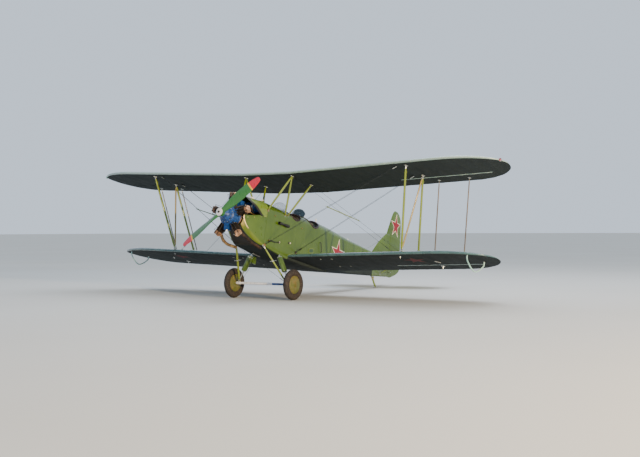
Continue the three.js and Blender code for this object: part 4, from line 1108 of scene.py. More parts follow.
def make_side_fittings():
    """Venturi, caps, pipe, foot hole and grip on the port side, and two small parts on the deck."""
    port = Skin()
    port.turned(VENTURI, Matrix.Translation((0.446, 0, 1.715)) @ Matrix.Rotation(-math.pi / 2, 4, "X"),
                24, 0)
    for y in (-0.15, -0.01):
        port.block((0.40, y - 0.01, 1.708), (0.424, y + 0.01, 1.722), 0)
    for y, z, radius, height, finish in (
            (-0.62, 1.25, 0.015, 0.034, 1), (-0.40, 1.256, 0.013, 0.03, 0), (-0.21, 1.286, 0.02, 0.022, 2),
            (-0.21, 1.286, 0.028, 0.01, 0), (0.165, 1.352, 0.026, 0.014, 0), (0.21, 1.356, 0.019, 0.018, 2),
            (-0.486, 1.852, 0.016, 0.014, 1), (0.62, 1.80, 0.016, 0.009, 1), (2.93, 1.42, 0.02, 0.006, 3)):
        button(port, y, z, radius, height, finish)
    port.tube([(0.432, -0.62, 1.25), (0.432, -0.52, 1.252), (0.43, -0.40, 1.256), (0.424, -0.21, 1.286)],
              0.0105, 12, 0)
    # Foot hole: a raised dark green plate in an olive rim, its dark green painted shade
    (y0, z0), (a, b) = STEP["middle"], STEP["half"]
    for grow, height, finish in ((0.012, 0.006, 3), (0.0, 0.009, 4)):
        outline = [((a + grow) * math.copysign(abs(math.cos(t)) ** 0.6, math.cos(t)),
                    (b + grow) * math.copysign(abs(math.sin(t)) ** 0.6, math.sin(t))) for t in turns(32)]
        rings = [[on_side(y0 + u - v * STEP["tilt"], z0 + v + u * STEP["tilt"], lift) for u, v in outline]
                 for lift in (-0.001, height)]
        port.loft(rings, finish)
    port.tube(smooth_path(((0.398, 1.45, 1.632), (0.424, 1.45, 1.626), (0.436, 1.455, 1.595),
                           (0.438, 1.505, 1.45), (0.428, 1.525, 1.414), (0.398, 1.53, 1.408)), 6),
              0.008, 10, 0)
    port.rod((0.1, 1.60, 2.15), (0.1, 1.59, 2.262), 0.014, 0.01, 12, 2)
    port.turned(((0.0, 0.0), (0.032, 0.0), (0.03, 0.02), (0.018, 0.04), (0.0, 0.048)),
                Matrix.Translation((0.03, 3.24, station(3.24)[3] - 0.002)), 20, 2)
    make_piece("side_fittings", port, ("black_enamel", "bare_brass", "ivory_enamel", "enamelled_tube_olive",
                                        "foot_hole_painted_shade"),
               slot="bare_metal", sharp=40)


def make_wing_fittings():
    """Wire plates on the fuselage, strips at the lower wing roots, and parts under the wings."""
    pair = Skin()
    for foot, finish in ((WIRE_REAR_FOOT, 0), (WIRE_FRONT_FOOT, 1)):
        pair.block((-0.004, -0.034, -0.03), (0.012, 0.034, 0.026), finish, Matrix.Translation(foot))
        for y, z in ((-0.022, -0.018), (0.022, -0.018), (0.0, 0.014)):
            pair.bolt(foot + Vector((0.012, y, z)), OUTWARD, 0.006, 1)
    above = panel_ring(LOWER, 0.011, False)[0][FRONT_STEPS + REAR_STEPS:]
    strip = [panel_frame(LOWER) @ Vector(p) for p in above]
    pair.tube(strip, 0.0105, 8, 2)
    for x, share, size in ((3.265, 0.13, 0.7), (3.76, 0.80, 1.4)):
        foot = on_panel(LOWER, x, share, -1)
        pair.block((-0.022 * size, -0.04 * size, -0.006), (0.022 * size, 0.04 * size, 0.004), 3,
                   Matrix.Translation(foot))
        pair.rod(foot, foot - UP * 0.045 * size, 0.011 * size, 0.008 * size, 12, 3)
    skewed = on_panel(LOWER, 3.84, 0.51, -1)
    pair.rod(skewed + Vector((-0.02, -0.07, -0.002)), skewed + Vector((0.06, 0.07, -0.01)),
             0.012, 0.009, 10, 3)
    for x in (1.13, 1.43):
        for share in (0.19, 0.705):
            spot = on_panel(LOWER, x, share, -1) + UP * 0.003
            pair.rod(spot, spot - UP * 0.006, 0.026, 0.024, 20, 4)
            pair.block((-0.005, -0.03, -0.009), (0.005, 0.03, 0.0), 3, Matrix.Translation(spot))
    both_sides("wing_fittings_{}", pair,
               ("black_enamel", "bare_brass", "enamelled_tube_olive", "bright_aluminium", "grey_primer"),
               slot="bare_metal")


def make_starboard_fittings():
    """Bright caps on the far cabane struts, and a plate and a drain pipe under the nose."""
    far = Skin()
    for foot, top, share, half in ((CABANE_SLANT_FOOT, CABANE_FRONT_TOP, 0.46, (0.065, 0.05, 0.024)),
                                   (CABANE_REAR_FOOT, CABANE_REAR_TOP, 0.5, (0.034, 0.034, 0.03))):
        spot = foot.lerp(top, share)
        spot.x = -spot.x - half[0] * 0.7
        far.block([-h for h in half], half, 2, Matrix.Translation(spot))
    far.block((-0.02, -0.06, -0.085), (0.012, 0.06, 0.085), 1, Matrix.Translation((-0.42, 0.015, 0.905)))
    drain = (Vector((-0.25, -0.30, 1.003)), Vector((-0.25, -0.02, 0.986)))
    far.rod(*drain, 0.012, sides=14)
    for share in (0.15, 0.85):
        post = drain[0].lerp(drain[1], share)
        far.rod(post, post + UP * 0.03, 0.006, sides=8)
    make_piece("starboard_fittings", far, ("bright_aluminium", "enamelled_sheet_olive", "white_enamel"),
               slot="bare_metal")


def make_tip_lights():
    """Red and green lights near the tips of the upper wing."""
    for (label, side), lens in zip(SIDES, ("red_lens", "green_lens")):
        lamp = Skin()
        out = UPPER["tip"] - 0.07
        lead = panel_edges(UPPER["tip"] - out)[0]
        spot = on_panel(UPPER, out, lead / CHORD, 1)
        around = Matrix.Translation(spot) @ Matrix.Rotation(math.radians(55), 4, "X")
        lamp.turned(((0.0, -0.012), (0.034, -0.012), (0.034, 0.006), (0.0, 0.006)), around, 24, 0)
        lamp.turned(((0.0, 0.004), (0.03, 0.004), (0.029, 0.02), (0.022, 0.036), (0.01, 0.044),
                     (0.0, 0.046)), around, 24, 1)
        make_piece("tip_light_" + label, lamp if side > 0 else lamp.mirrored(),
                   ("bright_aluminium", lens), slot="pane")


# Struts
def strut_ring(centre, axis, half_thick, half_deep, sides=18):
    """A streamlined outline across an axis, blunt ahead and slim behind."""
    head = Vector(axis).normalized()
    deep = (AFT - head * head.y).normalized()
    across = deep.cross(head)
    ring = []
    for t in turns(sides):
        aft = -math.cos(t)
        ring.append(Vector(centre) + deep * half_deep * aft
                    + across * half_thick * math.sin(t) * (1 - 0.3 * aft))
    return ring


def add_strut(skin, start, end, half_thick, half_deep, finish=0, ferrule=1):
    """A streamlined strut that narrows to bright ferrules, forks and bolts at its ends."""
    start, end = Vector(start), Vector(end)
    axis = end - start
    length = axis.length
    along = axis / length
    fork, sleeve = 0.03, 0.062

    def ring(distance, size, grow=0.0):
        return strut_ring(start + along * distance, axis, half_thick * size + grow,
                          half_deep * size + grow)

    marks = ((sleeve, 0.8), (sleeve + 0.12, 1.0), (length / 2, 1.06), (length - sleeve - 0.12, 1.0),
             (length - sleeve, 0.8))
    skin.loft([ring(*mark) for mark in marks], finish)
    for near, way in ((0.0, 1), (length, -1)):
        steps = ((fork * 0.8, 0.45), (fork + 0.015, 0.62), (sleeve + 0.006, 0.8))
        skin.loft([ring(near + way * d, size, 0.0015) for d, size in steps], ferrule)
        tip = start + along * near
        across = strut_ring((0, 0, 0), axis, 1, 0)[5].normalized()
        for shift in (-1, 1):
            cheek = across * 0.008 * shift
            skin.rod(tip + cheek + along * way * 0.002, tip + cheek + along * way * (fork + 0.01),
                     0.006, 0.006, 8, ferrule)
        pin = tip + along * way * 0.018
        skin.rod(pin - across * 0.02, pin + across * 0.02, 0.0055, sides=8, finish=ferrule)
        skin.bolt(pin + across * 0.019, across, 0.007, ferrule)


def add_clamp(skin, start, end, share, half_thick, half_deep, finish=1):
    """A bright band round a strut."""
    start, end = Vector(start), Vector(end)
    axis = end - start
    middle = start + axis * share
    along = axis.normalized()
    steps = ((-0.014, 0.001), (-0.012, 0.004), (0.012, 0.004), (0.014, 0.001))
    skin.loft([strut_ring(middle + along * d, axis, half_thick + g, half_deep + g)
               for d, g in steps], finish)
    ear = strut_ring(middle, axis, 0, half_deep + 0.012)[9]
    skin.bolt(ear, OUTWARD, 0.006, finish)


STRUT_TOP = 3.61
STRUT_FOOT = 3.283
WIRE_INSET = 0.23
FRONT_TOP = on_panel(UPPER, STRUT_TOP, FRONT_SPAR, -1)
REAR_TOP = on_panel(UPPER, STRUT_TOP, REAR_SPAR, -1)
FRONT_FOOT = on_panel(LOWER, STRUT_FOOT, FRONT_SPAR, 1)
REAR_FOOT = on_panel(LOWER, STRUT_FOOT, REAR_SPAR, 1)
FLYING_FRONT_TOP = on_panel(UPPER, STRUT_TOP - WIRE_INSET, FRONT_SPAR, -1)
FLYING_REAR_TOP = on_panel(UPPER, STRUT_TOP - WIRE_INSET, REAR_SPAR, -1)
LANDING_FRONT_FOOT = on_panel(LOWER, STRUT_FOOT - WIRE_INSET, FRONT_SPAR, 1)
LANDING_REAR_FOOT = on_panel(LOWER, STRUT_FOOT - WIRE_INSET, REAR_SPAR, 1)
CABANE_TOP = 0.668
CABANE_FRONT_TOP = on_centre(CABANE_TOP, FRONT_SPAR, -1)
CABANE_REAR_TOP = on_centre(CABANE_TOP, REAR_SPAR, -1)
LANDING_FRONT_TOP = on_centre(CABANE_TOP + 0.01, FRONT_SPAR + 0.03, -1)
LANDING_REAR_TOP = on_centre(CABANE_TOP + 0.01, REAR_SPAR + 0.03, -1)
CABANE_FRONT_FOOT = Vector((0.400, -0.766, 1.930))
CABANE_SLANT_FOOT = Vector((0.397, -0.100, 1.955))
CABANE_REAR_FOOT = Vector((0.391, 0.016, 1.970))
GEAR_FRONT_TOP = Vector((0.391, -0.748, 1.096))
GEAR_REAR_TOP = Vector((0.394, -0.130, 1.008))
WIRE_FRONT_FOOT = Vector((0.398, -0.735, 1.130))
WIRE_REAR_FOOT = Vector((0.400, 0.480, 1.190))
GEAR_FRONT_FOOT = Vector((0.688, AXLE.y, AXLE.z))
GEAR_REAR_FOOT = Vector((0.742, AXLE.y, AXLE.z))
TAIL_STRUT_TOP = Vector((0.860, 5.120, 1.974))
TAIL_STRUT_FOOT = Vector((0.076, 4.950, 1.484))


def add_base(skin, point, toward, finish=1):
    """A fitting plate with two bolts where a strut meets a surface, and its lug."""
    point = Vector(point)
    out = (Vector(toward) - point).normalized()
    up = Vector((0, 0, 1 if out.z > 0 else -1))
    for shift in (-1, 1):
        end = point + out * 0.036 + OUTWARD * 0.011 * shift
        skin.rod(point - up * 0.004 + OUTWARD * 0.011 * shift, end, 0.008, 0.006, 8, finish)
    skin.block((-0.03, -0.05, -0.003), (0.03, 0.05, 0.003), finish,
               Matrix.Translation(point + up * 0.002))
    for aft in (-0.036, 0.036):
        skin.bolt(point + up * 0.004 + AFT * aft, up, 0.007, finish)


def make_interplane_struts():
    """Front, rear and slanted struts between the wings."""
    thick, deep = 0.017, 0.034
    skin = Skin()
    add_strut(skin, FRONT_FOOT, FRONT_TOP, thick, deep)
    add_strut(skin, REAR_FOOT, REAR_TOP, thick, deep)
    slant = (FRONT_FOOT.lerp(REAR_TOP, 0.02), FRONT_FOOT.lerp(REAR_TOP, 0.98))
    add_strut(skin, *slant, thick - 0.003, deep - 0.008, 2)
    for foot, top in ((FRONT_FOOT, FRONT_TOP), (REAR_FOOT, REAR_TOP)):
        add_base(skin, foot, top)
        add_base(skin, top, foot)
        add_clamp(skin, foot, top, 0.1, thick, deep, 0)
        add_clamp(skin, foot, top, 0.92, thick, deep, 0)
    both_sides("strut_set_{}", skin,
               ("enamelled_tube_olive", "bright_aluminium", "tan_enamelled_tube"),
               slot="green_strut", replaces=("interplane_struts_{}",))


def make_cabane_struts():
    """Struts that carry the centre section over the fuselage, on small plates at the longeron."""
    thick, deep = 0.015, 0.029
    skin = Skin()
    slant = (CABANE_SLANT_FOOT, CABANE_SLANT_FOOT.lerp(CABANE_FRONT_TOP, 0.965))
    for foot, top in ((CABANE_FRONT_FOOT, CABANE_FRONT_TOP), slant, (CABANE_REAR_FOOT, CABANE_REAR_TOP)):
        add_strut(skin, foot, top, thick, deep, ferrule=0)
    for top in (CABANE_FRONT_TOP, CABANE_REAR_TOP):
        add_base(skin, top, top - UP)
    for foot in (CABANE_FRONT_FOOT, CABANE_SLANT_FOOT, CABANE_REAR_FOOT):
        skin.block((-0.006, -0.032, -0.05), (0.007, 0.032, 0.012), 2, Matrix.Translation(foot))
        for aft, up in ((-0.02, -0.036), (0.02, -0.036), (0.0, -0.012)):
            skin.bolt(foot + Vector((0.007, aft, up)), OUTWARD, 0.006, 1)
    both_sides("cabane_set_{}", skin,
               ("enamelled_tube_olive", "bright_aluminium", "bare_brass"),
               slot="green_strut", replaces=("cabane_struts_{}", "cabane_rear_strut_{}"))


# Wires
def add_wire(skin, start, end, radius, stand=0.012, finish=0):
    """A taut wire with an eye at each end and a turnbuckle near its foot."""
    start, end = Vector(start), Vector(end)
    along = (end - start).normalized()
    start, end = start + along * stand, end - along * stand
    skin.rod(start, end, radius, sides=6, finish=finish)
    for point, way in ((start, 1), (end, -1)):
        skin.rod(point, point + along * way * 0.03, radius * 1.8, radius * 1.8, 8, finish)
    low = start + along * 0.08
    marks = ((0.0, 0.9), (0.008, 2.0), (0.035, 2.6), (0.085, 2.6), (0.112, 2.0), (0.12, 0.9))
    skin.loft([circle(low + along * d, along, radius * r, 10) for d, r in marks], finish)


def nearest_point(first, second):
    """The point of the first line nearest to the second."""
    a, b = first
    c, d = second
    along, other = b - a, d - c
    across = along.cross(other)
    share = (c - a).cross(other).dot(across) / across.length_squared
    return a + along * share


def crossing_on(wire, other):
    """The point of one wire that another crosses in the front view."""
    flat = [Vector((p.x, 0, p.z)) for p in wire]
    meet = nearest_point(flat, [Vector((p.x, 0, p.z)) for p in other])
    share = (meet - flat[0]).length / (flat[1] - flat[0]).length
    return wire[0].lerp(wire[1], share)


def make_rigging():
    """Doubled flying wires with bright ends, landing wires, and the long rod that ties them."""
    flying = ((WIRE_FRONT_FOOT, FLYING_FRONT_TOP), (WIRE_REAR_FOOT, FLYING_REAR_TOP))
    landing = ((LANDING_FRONT_FOOT, LANDING_FRONT_TOP), (LANDING_REAR_FOOT, LANDING_REAR_TOP))
    radius = sizes().wire / 2
    skin = Skin()
    for foot, top in flying:
        for shift in (-0.018, 0.018):
            lean = AFT * shift
            add_wire(skin, foot + lean, top + lean, radius)
        for point in (foot, top):
            skin.rod(point - AFT * 0.026, point + AFT * 0.026, 0.006, sides=8)
        along = (foot - top).normalized()
        skin.rod(top, top + along * 0.1, 0.015, 0.012, 12, 2)
    for foot, top in landing:
        add_wire(skin, foot, top, radius)
        add_base_eye(skin, foot, top)
        add_base_eye(skin, top, foot)
    ends = [crossing_on(flying[0], landing[0]), crossing_on(landing[1], flying[1])]
    along = (ends[1] - ends[0]).normalized()
    front, rear = ends[0] - along * 0.09, ends[1] + along * 0.09
    marks = ((0, 0.4), (0.05, 1.0), (0.35, 1.25), (0.65, 1.25), (0.95, 1.0), (1, 0.4))
    skin.loft([circle(front.lerp(rear, s), along, 0.009 * r, 12) for s, r in marks], 1)
    for wire in (*flying, *landing):
        near = nearest_point((front, rear), wire)
        far = nearest_point(wire, (front, rear))
        skin.rod(near, far + (far - near).normalized() * 0.008 if (far - near).length > 1e-4
                 else far + UP * 0.02, 0.008, sides=8, finish=1)
        skin.rod(far - along * 0.02, far + along * 0.02, 0.012, sides=10, finish=1)
    both_sides("wires_{}", skin,
               ("drawn_steel_wire", "enamelled_tube_olive", "bright_aluminium"),
               slot="bare_metal", replaces=("rigging_{}",))


def add_base_eye(skin, point, toward):
    """A small eye plate that a wire hooks into."""
    out = (Vector(toward) - Vector(point)).normalized()
    skin.rod(point, Vector(point) + out * 0.016, 0.007, 0.004, 8)
    up = Vector((0, 0, 1 if out.z > 0 else -1))
    skin.block((-0.022, -0.022, -0.002), (0.022, 0.022, 0.003), 0,
               Matrix.Translation(Vector(point) + up * 0.001))


# Aileron link rods and tip bows
LINKS = (("inner", 3.787, 3.480), ("outer", 4.515, 4.208))


def make_links():
    """Rods that tie each upper aileron to the lower one."""
    for name, top, foot in LINKS:
        low = on_panel(LOWER, foot, 0.855, 1) + UP * 0.018
        high = on_panel(UPPER, top, 0.878, -1) - UP * 0.018
        along = (high - low).normalized()
        first, last = low + along * 0.0105, high - along * 0.0105
        length = (last - first).length
        rod = Skin()
        marks = ((0.0, 0.45), (0.035, 0.5), (0.06, 0.95), (0.12, 1.0), (length / 2, 1.1),
                 (length - 0.12, 1.0), (length - 0.06, 0.95), (length - 0.035, 0.5), (length, 0.45))
        rod.loft([circle(first + along * d, along, 0.0125 * r, 12) for d, r in marks], 0)
        for point, way in ((first, 1), (last, -1)):
            rod.rod(point + along * way * 0.03, point + along * way * 0.055, 0.0095, sides=6, finish=1)
        both_sides("link_rod_" + name + "_{}", rod,
                   ("weathered_tube_brown", "bright_aluminium"),
                   body="aileron_link_" + name + "_{}", slot="green_strut",
                   replaces=("aileron_link_" + name + "_{}",))
        for wing, pivot, up in (("lower", low, 1), ("upper", high, -1)):
            horn = Skin()
            for shift in (-1, 1):
                cheek = OUTWARD * 0.011 * shift
                horn.rod(pivot + cheek - UP * up * 0.03, pivot + cheek, 0.005, 0.007, 8)
            horn.rod(pivot - OUTWARD * 0.016, pivot + OUTWARD * 0.016, 0.0045, sides=8)
            horn.block((-0.028, -0.04, -0.002), (0.028, 0.04, 0.002), 0,
                       Matrix.Translation(pivot - UP * up * 0.0175))
            both_sides(wing + "_horn_" + name + "_{}", horn, ("bright_aluminium",),
                       body=wing + "_aileron_{}", slot="bare_metal")


def make_bows():
    """A bow of bent tube under each lower tip."""
    start = on_panel(LOWER, 4.83, 0.155, -1) - UP * 0.012
    end = on_panel(LOWER, 4.9, 0.59, -1) - UP * 0.012
    drop = 0.27
    marks = ((0, 0), (0, 0.04), (0.06, 0.11), (0.28, drop * 0.82), (0.52, drop), (0.78, drop * 0.72),
             (0.97, 0.09), (1, 0.04), (1, 0))
    path = [start.lerp(end, share) - UP * d for share, d in marks]
    skin = Skin()
    skin.tube(smooth_path(path, 6), 0.015, 12)
    for point in (start, end):
        skin.rod(point, point + UP * 0.014, 0.01, 0.016, 12, 1)
    both_sides("tip_bow_{}", skin, ("enamelled_tube_teal", "bright_aluminium"),
               slot="green_strut", replaces=("wingtip_bow_{}",))


# Propeller
PROPELLER_PLACE = -1.915
PROPELLER_RADIUS = 1.2
PROPELLER_REST = math.radians(52)
BOSS_RADIUS = 0.078
# Blade: distance from the hub, chord, thickness and pitch in degrees
BLADE_STATIONS = (
    (0.0, 0.120, 0.096, 62), (0.12, 0.128, 0.084, 52), (0.3, 0.176, 0.052, 38),
    (0.55, 0.212, 0.034, 27), (0.8, 0.204, 0.025, 21), (1.02, 0.168, 0.018, 17),
    (1.14, 0.122, 0.013, 15), (1.2, 0.044, 0.008, 14),
)


def make_propeller():
    """Two twisted blades on a boss between bright plates."""
    place = (Matrix.Translation((0, PROPELLER_PLACE, THRUST_HEIGHT))
             @ Matrix.Rotation(PROPELLER_REST, 4, "Y"))
    skin = Skin()
    marks = [0.02 + 1.1 * i / 26 for i in range(27)] + [1.14, 1.16, 1.176, 1.188, 1.196, 1.2]
    for way in (1, -1):
        rings, bays = [], []
        for radius in marks:
            chord, thick, pitch = row_between(BLADE_STATIONS, radius)
            if radius > 1.12:
                chord = 0.128 * math.sqrt(max(1 - ((radius - 1.12) / 0.082) ** 2, 0.02))
            turn = math.radians(pitch)
            ring = []
            for t in turns(20):
                x, y = chord / 2 * math.cos(t), thick / 2 * math.sin(t) * (1 + 0.25 * math.cos(t))
                ring.append(place @ Vector((way * (x * math.cos(turn) - y * math.sin(turn)),
                                            x * math.sin(turn) + y * math.cos(turn), way * radius)))
            rings.append(ring)
            bays.append([(0.5, radius / PROPELLER_RADIUS)] * len(ring))
        skin.loft(rings, 0, bays)
    turned = place @ LYING_AHEAD
    half = 0.055
    skin.turned(((0.0, half - 0.06), (0.031, half - 0.06), (0.031, half), (BOSS_RADIUS, half),
                 (BOSS_RADIUS, -half), (0.0, -half)), turned @ Matrix.Rotation(math.pi, 4, "X"), 32)
    front = ((0.0, half + 0.006), (0.03, half + 0.006), (0.034, half + 0.002), (0.08, half + 0.002),
             (0.087, half), (0.087, half - 0.006), (0.0, half - 0.006))
    skin.turned(front, turned, 40, 3)
    skin.turned(((0.0, half + 0.024), (0.022, half + 0.024), (0.027, half + 0.018),
                 (0.027, half), (0.0, half)), turned, 24, 2)
    skin.bolts(turned, 0.062, half + 0.001, 8, 0.0065, 1)
    make_piece("propeller_blades", skin,
               ("enamelled_beech", "bright_aluminium", "black_cast_iron", "white_enamel"),
               body="propeller", slot="propeller_wood", replaces=("propeller",), sharp=40)


# Engine
CYLINDER_PLACE = -1.57
CYLINDER_SEAT = 0.225
CYLINDER_COUNT = 5


def nose_turned():
    """Turns a profile's height to run forward along the thrust line."""
    return Matrix.Translation((0, 0, THRUST_HEIGHT)) @ LYING_AHEAD


def make_crankcase():
    """Blue case with its nose, cylinder pads, bolted joint and cover nuts."""
    case = ((0.0, 1.8475), (0.05, 1.8475), (0.062, 1.84), (0.074, 1.815), (0.086, 1.79), (0.112, 1.752),
            (0.118, 1.748), (0.15, 1.73), (0.184, 1.70), (0.19, 1.69), (0.204, 1.688), (0.212, 1.682),
            (0.212, 1.662), (0.206, 1.655), (0.206, 1.49), (0.212, 1.484), (0.212, 1.466), (0.2, 1.46),
            (0.178, 1.45), (0.178, 1.4203), (0.0, 1.4203))
    skin = Skin()
    skin.turned(case, nose_turned(), 60)
    hub = Matrix.Translation((0, CYLINDER_PLACE, THRUST_HEIGHT))
    for i in range(CYLINDER_COUNT):
        out = hub @ Matrix.Rotation(math.tau * i / CYLINDER_COUNT, 4, "Y")
        skin.turned(((0.0, 0.15), (0.096, 0.15), (0.086, 0.2), (0.086, 0.222), (0.08, 0.225),
                     (0.0, 0.225)), out, 24)
    skin.bolts(nose_turned(), 0.166, 1.714, 15, 0.0065, 1)
    skin.bolts(nose_turned(), 0.1, 1.762, 10, 0.005, 1)
    skin.rod((0, -1.847, THRUST_HEIGHT), (0, -1.862, THRUST_HEIGHT), 0.05, 0.046, 32, 1)
    oil = Matrix.Translation((0, -1.6, THRUST_HEIGHT - 0.23))
    skin.block((-0.045, -0.09, -0.1), (0.045, 0.07, 0.06), 0, oil)
    skin.rod((0, -1.64, THRUST_HEIGHT - 0.33), (0, -1.64, THRUST_HEIGHT - 0.345), 0.02, sides=6, finish=1)
    make_piece("crankcase", skin, ("blue_enamel_and_painted_shadow", "bright_aluminium"),
               slot="blue_case", replaces=("engine_crankcase",), sharp=30)


def add_cylinder(skin, place):
    """One finned cylinder: barrel, head, rocker boxes, push rods, plugs and inlet pipe."""
    pitch = sizes().fin_pitch
    profile = [(0.0, 0.0), (0.074, 0.0), (0.074, 0.01), (0.06, 0.012)]
    z = 0.024
    while z < 0.2:
        profile += [(0.0585, z), (0.08, z + 0.001), (0.08, z + 0.0032), (0.0585, z + 0.0042)]
        z += pitch
    profile += [(0.06, 0.206), (0.0, 0.206)]
    skin.turned(profile, place, 36, 0)
    head = [(0.0, 0.205), (0.07, 0.205), (0.07, 0.212)]
    z = 0.215
    while z < 0.272:
        head += [(0.06, z), (0.083, z + 0.001), (0.083, z + 0.004), (0.06, z + 0.005)]
        z += pitch * 0.95
    head += [(0.066, 0.276), (0.05, 0.286), (0.0, 0.288)]
    skin.turned(head, place, 36, 1)
    skin.bolts(place, 0.067, 0.009, 8, 0.0055, 2)
    for side in (-1, 1):
        box = place @ Matrix.Translation((0.042 * side, -0.012, 0.284))
        rounded = [(-0.019, -0.052), (0.019, -0.052), (0.021, -0.03), (0.021, 0.034), (0.014, 0.05),
                   (-0.014, 0.05), (-0.021, 0.034), (-0.021, -0.03)]
        marks = ((-0.012, 0.85), (-0.004, 1.0), (0.012, 1.0), (0.02, 0.8))
        skin.loft([[box @ Vector((x * r, y * r, z)) for x, y in rounded] for z, r in marks], 1)
        skin.bolt(box @ Vector((0, 0.02, 0.02)), place.to_3x3() @ UP, 0.006, 2)
        foot = place @ Vector((0.028 * side, -0.098, -0.055))
        top = place @ Vector((0.044 * side, -0.07, 0.272))
        skin.rod(foot, top, 0.0075, sides=12, finish=0)
        along = (top - foot).normalized()
        skin.rod(foot - along * 0.012, foot + along * 0.03, 0.012, 0.0105, 12, 2)
        skin.rod(top - along * 0.02, top + along * 0.012, 0.0105, 0.012, 12, 0)
        plug = place @ Vector((0.068 * side, -0.036, 0.244))
        way = place.to_3x3() @ Vector((side, -0.55, 0.1)).normalized()
        skin.rod(plug, plug + way * 0.028, 0.0085, sides=6, finish=2)
        skin.rod(plug + way * 0.026, plug + way * 0.05, 0.006, 0.0045, 8, 3)
        lead = [(0.068 * side + 0.038 * side, -0.062, 0.25), (0.112 * side, -0.03, 0.2),
                (0.104 * side, 0.04, 0.1), (0.07 * side, 0.09, 0.01), (0.05 * side, 0.13, -0.05)]
        skin.tube([place @ p for p in smooth_path(lead, 5)], 0.004, 6, 3)
    intake = [(0.0, 0.17, -0.07), (0.0, 0.15, 0.02), (0.0, 0.125, 0.13), (0.0, 0.118, 0.21),
              (0.0, 0.095, 0.25), (0.0, 0.065, 0.262)]
    skin.tube([place @ p for p in smooth_path(intake, 6)], 0.019, 14, 0)


def cylinder_place(i):
    """A cylinder's own frame: Z outward, Y aft."""
    return (Matrix.Translation((0, CYLINDER_PLACE, THRUST_HEIGHT))
            @ Matrix.Rotation(math.tau * i / CYLINDER_COUNT, 4, "Y")
            @ Matrix.Translation((0, 0, CYLINDER_SEAT)))


def make_cylinders():
    """Five finned cylinders."""
    for i in range(CYLINDER_COUNT):
        skin = Skin()
        add_cylinder(skin, cylinder_place(i))
        make_piece(f"cylinder_{i + 1}", skin,
                   ("black_cast_iron", "cast_aluminium_tinted", "bright_aluminium", "black_rubber"),
                   slot="black_iron", replaces=(f"engine_cylinder_{i + 1}",))


EXHAUST_RADIUS = 0.034
EXHAUST_ROUTES = {
    "port": ((0.276, -1.540, 1.226), (0.292, -1.450, 1.218), (0.322, -1.330, 1.170),
             (0.338, -1.130, 1.096), (0.352, -0.960, 1.058), (0.360, -0.820, 1.032)),
    "starboard": ((-0.276, -1.540, 1.226), (-0.292, -1.450, 1.200), (-0.318, -1.330, 1.110),
                  (-0.318, -1.180, 1.050), (-0.300, -1.040, 1.035), (-0.290, -0.880, 1.030)),
}


def make_exhausts():
    """Pipes from the lower cylinders, open at the back, with flanges at the heads."""
    for side, route in EXHAUST_ROUTES.items():
        path = smooth_path(route, 8)
        skin = Skin()
        outer = swept(path, circle_outline(EXHAUST_RADIUS, 20))
        inner = swept(path, circle_outline(EXHAUST_RADIUS - 0.003, 20))
        skin.sheet([*outer, *reversed(inner[-6:])], 0, True)
        head = Vector(route[0])
        along = (Vector(route[1]) - head).normalized()
        skin.rod(head - along * 0.02, head + along * 0.012, 0.048, sides=20)
        skin.rod(head + along * 0.012, head + along * 0.03, 0.042, EXHAUST_RADIUS, 20)
        for share in (0.42, 0.8):
            ring = path[int(share * len(path))]
            way = (path[int(share * len(path)) + 1] - ring).normalized()
            skin.rod(ring, ring + way * 0.022, EXHAUST_RADIUS + 0.004, sides=20)
        # The starboard pipe takes painted sunlight, the port one sooted steel
        steel = "sooted_steel" if side == "port" else "exhaust_steel_painted_sunlight"
        make_piece("exhaust_pipe_" + side, skin, (steel,), slot="sooty_steel",
                   replaces=("exhaust_" + side,))


# Landing gear
HALF_TRACK = 0.849
WHEEL_RADIUS = 0.35
TYRE_WIDTH = 0.134
TYRE_DEPTH = 0.08
RIM_RADIUS = 0.206
TREAD_START, TREAD_PITCH, TREAD_DEPTH = 0.72, 0.0065, 0.003
AXLE_RADIUS = 0.022


def down_line(start, end, distance):
    """The point a distance down a line."""
    return Vector(start) + (Vector(end) - Vector(start)).normalized() * distance


def make_axle():
    """Cross axle with its collars, end nuts and a blue band of painted shadow near the port wheel, and the crossed
    wires between the legs.
    """
    skin = Skin()
    outer = HALF_TRACK + TYRE_WIDTH / 2 + 0.012
    skin.rod((-outer, AXLE.y, AXLE.z), (outer, AXLE.y, AXLE.z), AXLE_RADIUS, sides=28)
    skin.rod((-0.62, AXLE.y, AXLE.z), (0.27, AXLE.y, AXLE.z), 0.0275, sides=28)
    # Blue band: painted shadow of the port wheel on the axle
    skin.rod((0.27, AXLE.y, AXLE.z), (0.64, AXLE.y, AXLE.z), 0.025, sides=28, finish=2)
    for _, side in SIDES:
        for x, radius, half in ((0.688, 0.032, 0.028), (0.742, 0.034, 0.02), (0.775, 0.028, 0.006)):
            skin.rod((side * (x - half), AXLE.y, AXLE.z), (side * (x + half), AXLE.y, AXLE.z),
                     radius, sides=28)
        skin.rod((side * outer, AXLE.y, AXLE.z), (side * (outer + 0.01), AXLE.y, AXLE.z), 0.034,
                 0.028, 24, 3)
        skin.rod((side * (outer + 0.01), AXLE.y, AXLE.z), (side * (outer + 0.018), AXLE.y, AXLE.z),
                 0.016, sides=6, finish=3)
        for foot, top in ((GEAR_FRONT_FOOT, GEAR_FRONT_TOP), (GEAR_REAR_FOOT, GEAR_REAR_TOP)):
            foot, top = (Vector((side * p.x, p.y, p.z)) for p in (foot, top))
            skin.rod(foot, down_line(foot, top, 0.046), 0.013, sides=12)
        foot = Vector((side * 0.66, AXLE.y, AXLE.z + 0.03))
        top = Vector((-side * 0.37, GEAR_FRONT_TOP.y + 0.03, GEAR_FRONT_TOP.z - 0.01))
        add_wire(skin, foot, top, sizes().wire / 2, finish=1)
    make_piece("cross_axle", skin,
               ("white_enamel", "drawn_steel_wire", "blue_enamel_and_painted_shadow", "dusty_wheel_enamel"),
               slot="bare_metal", replaces=("axle",))


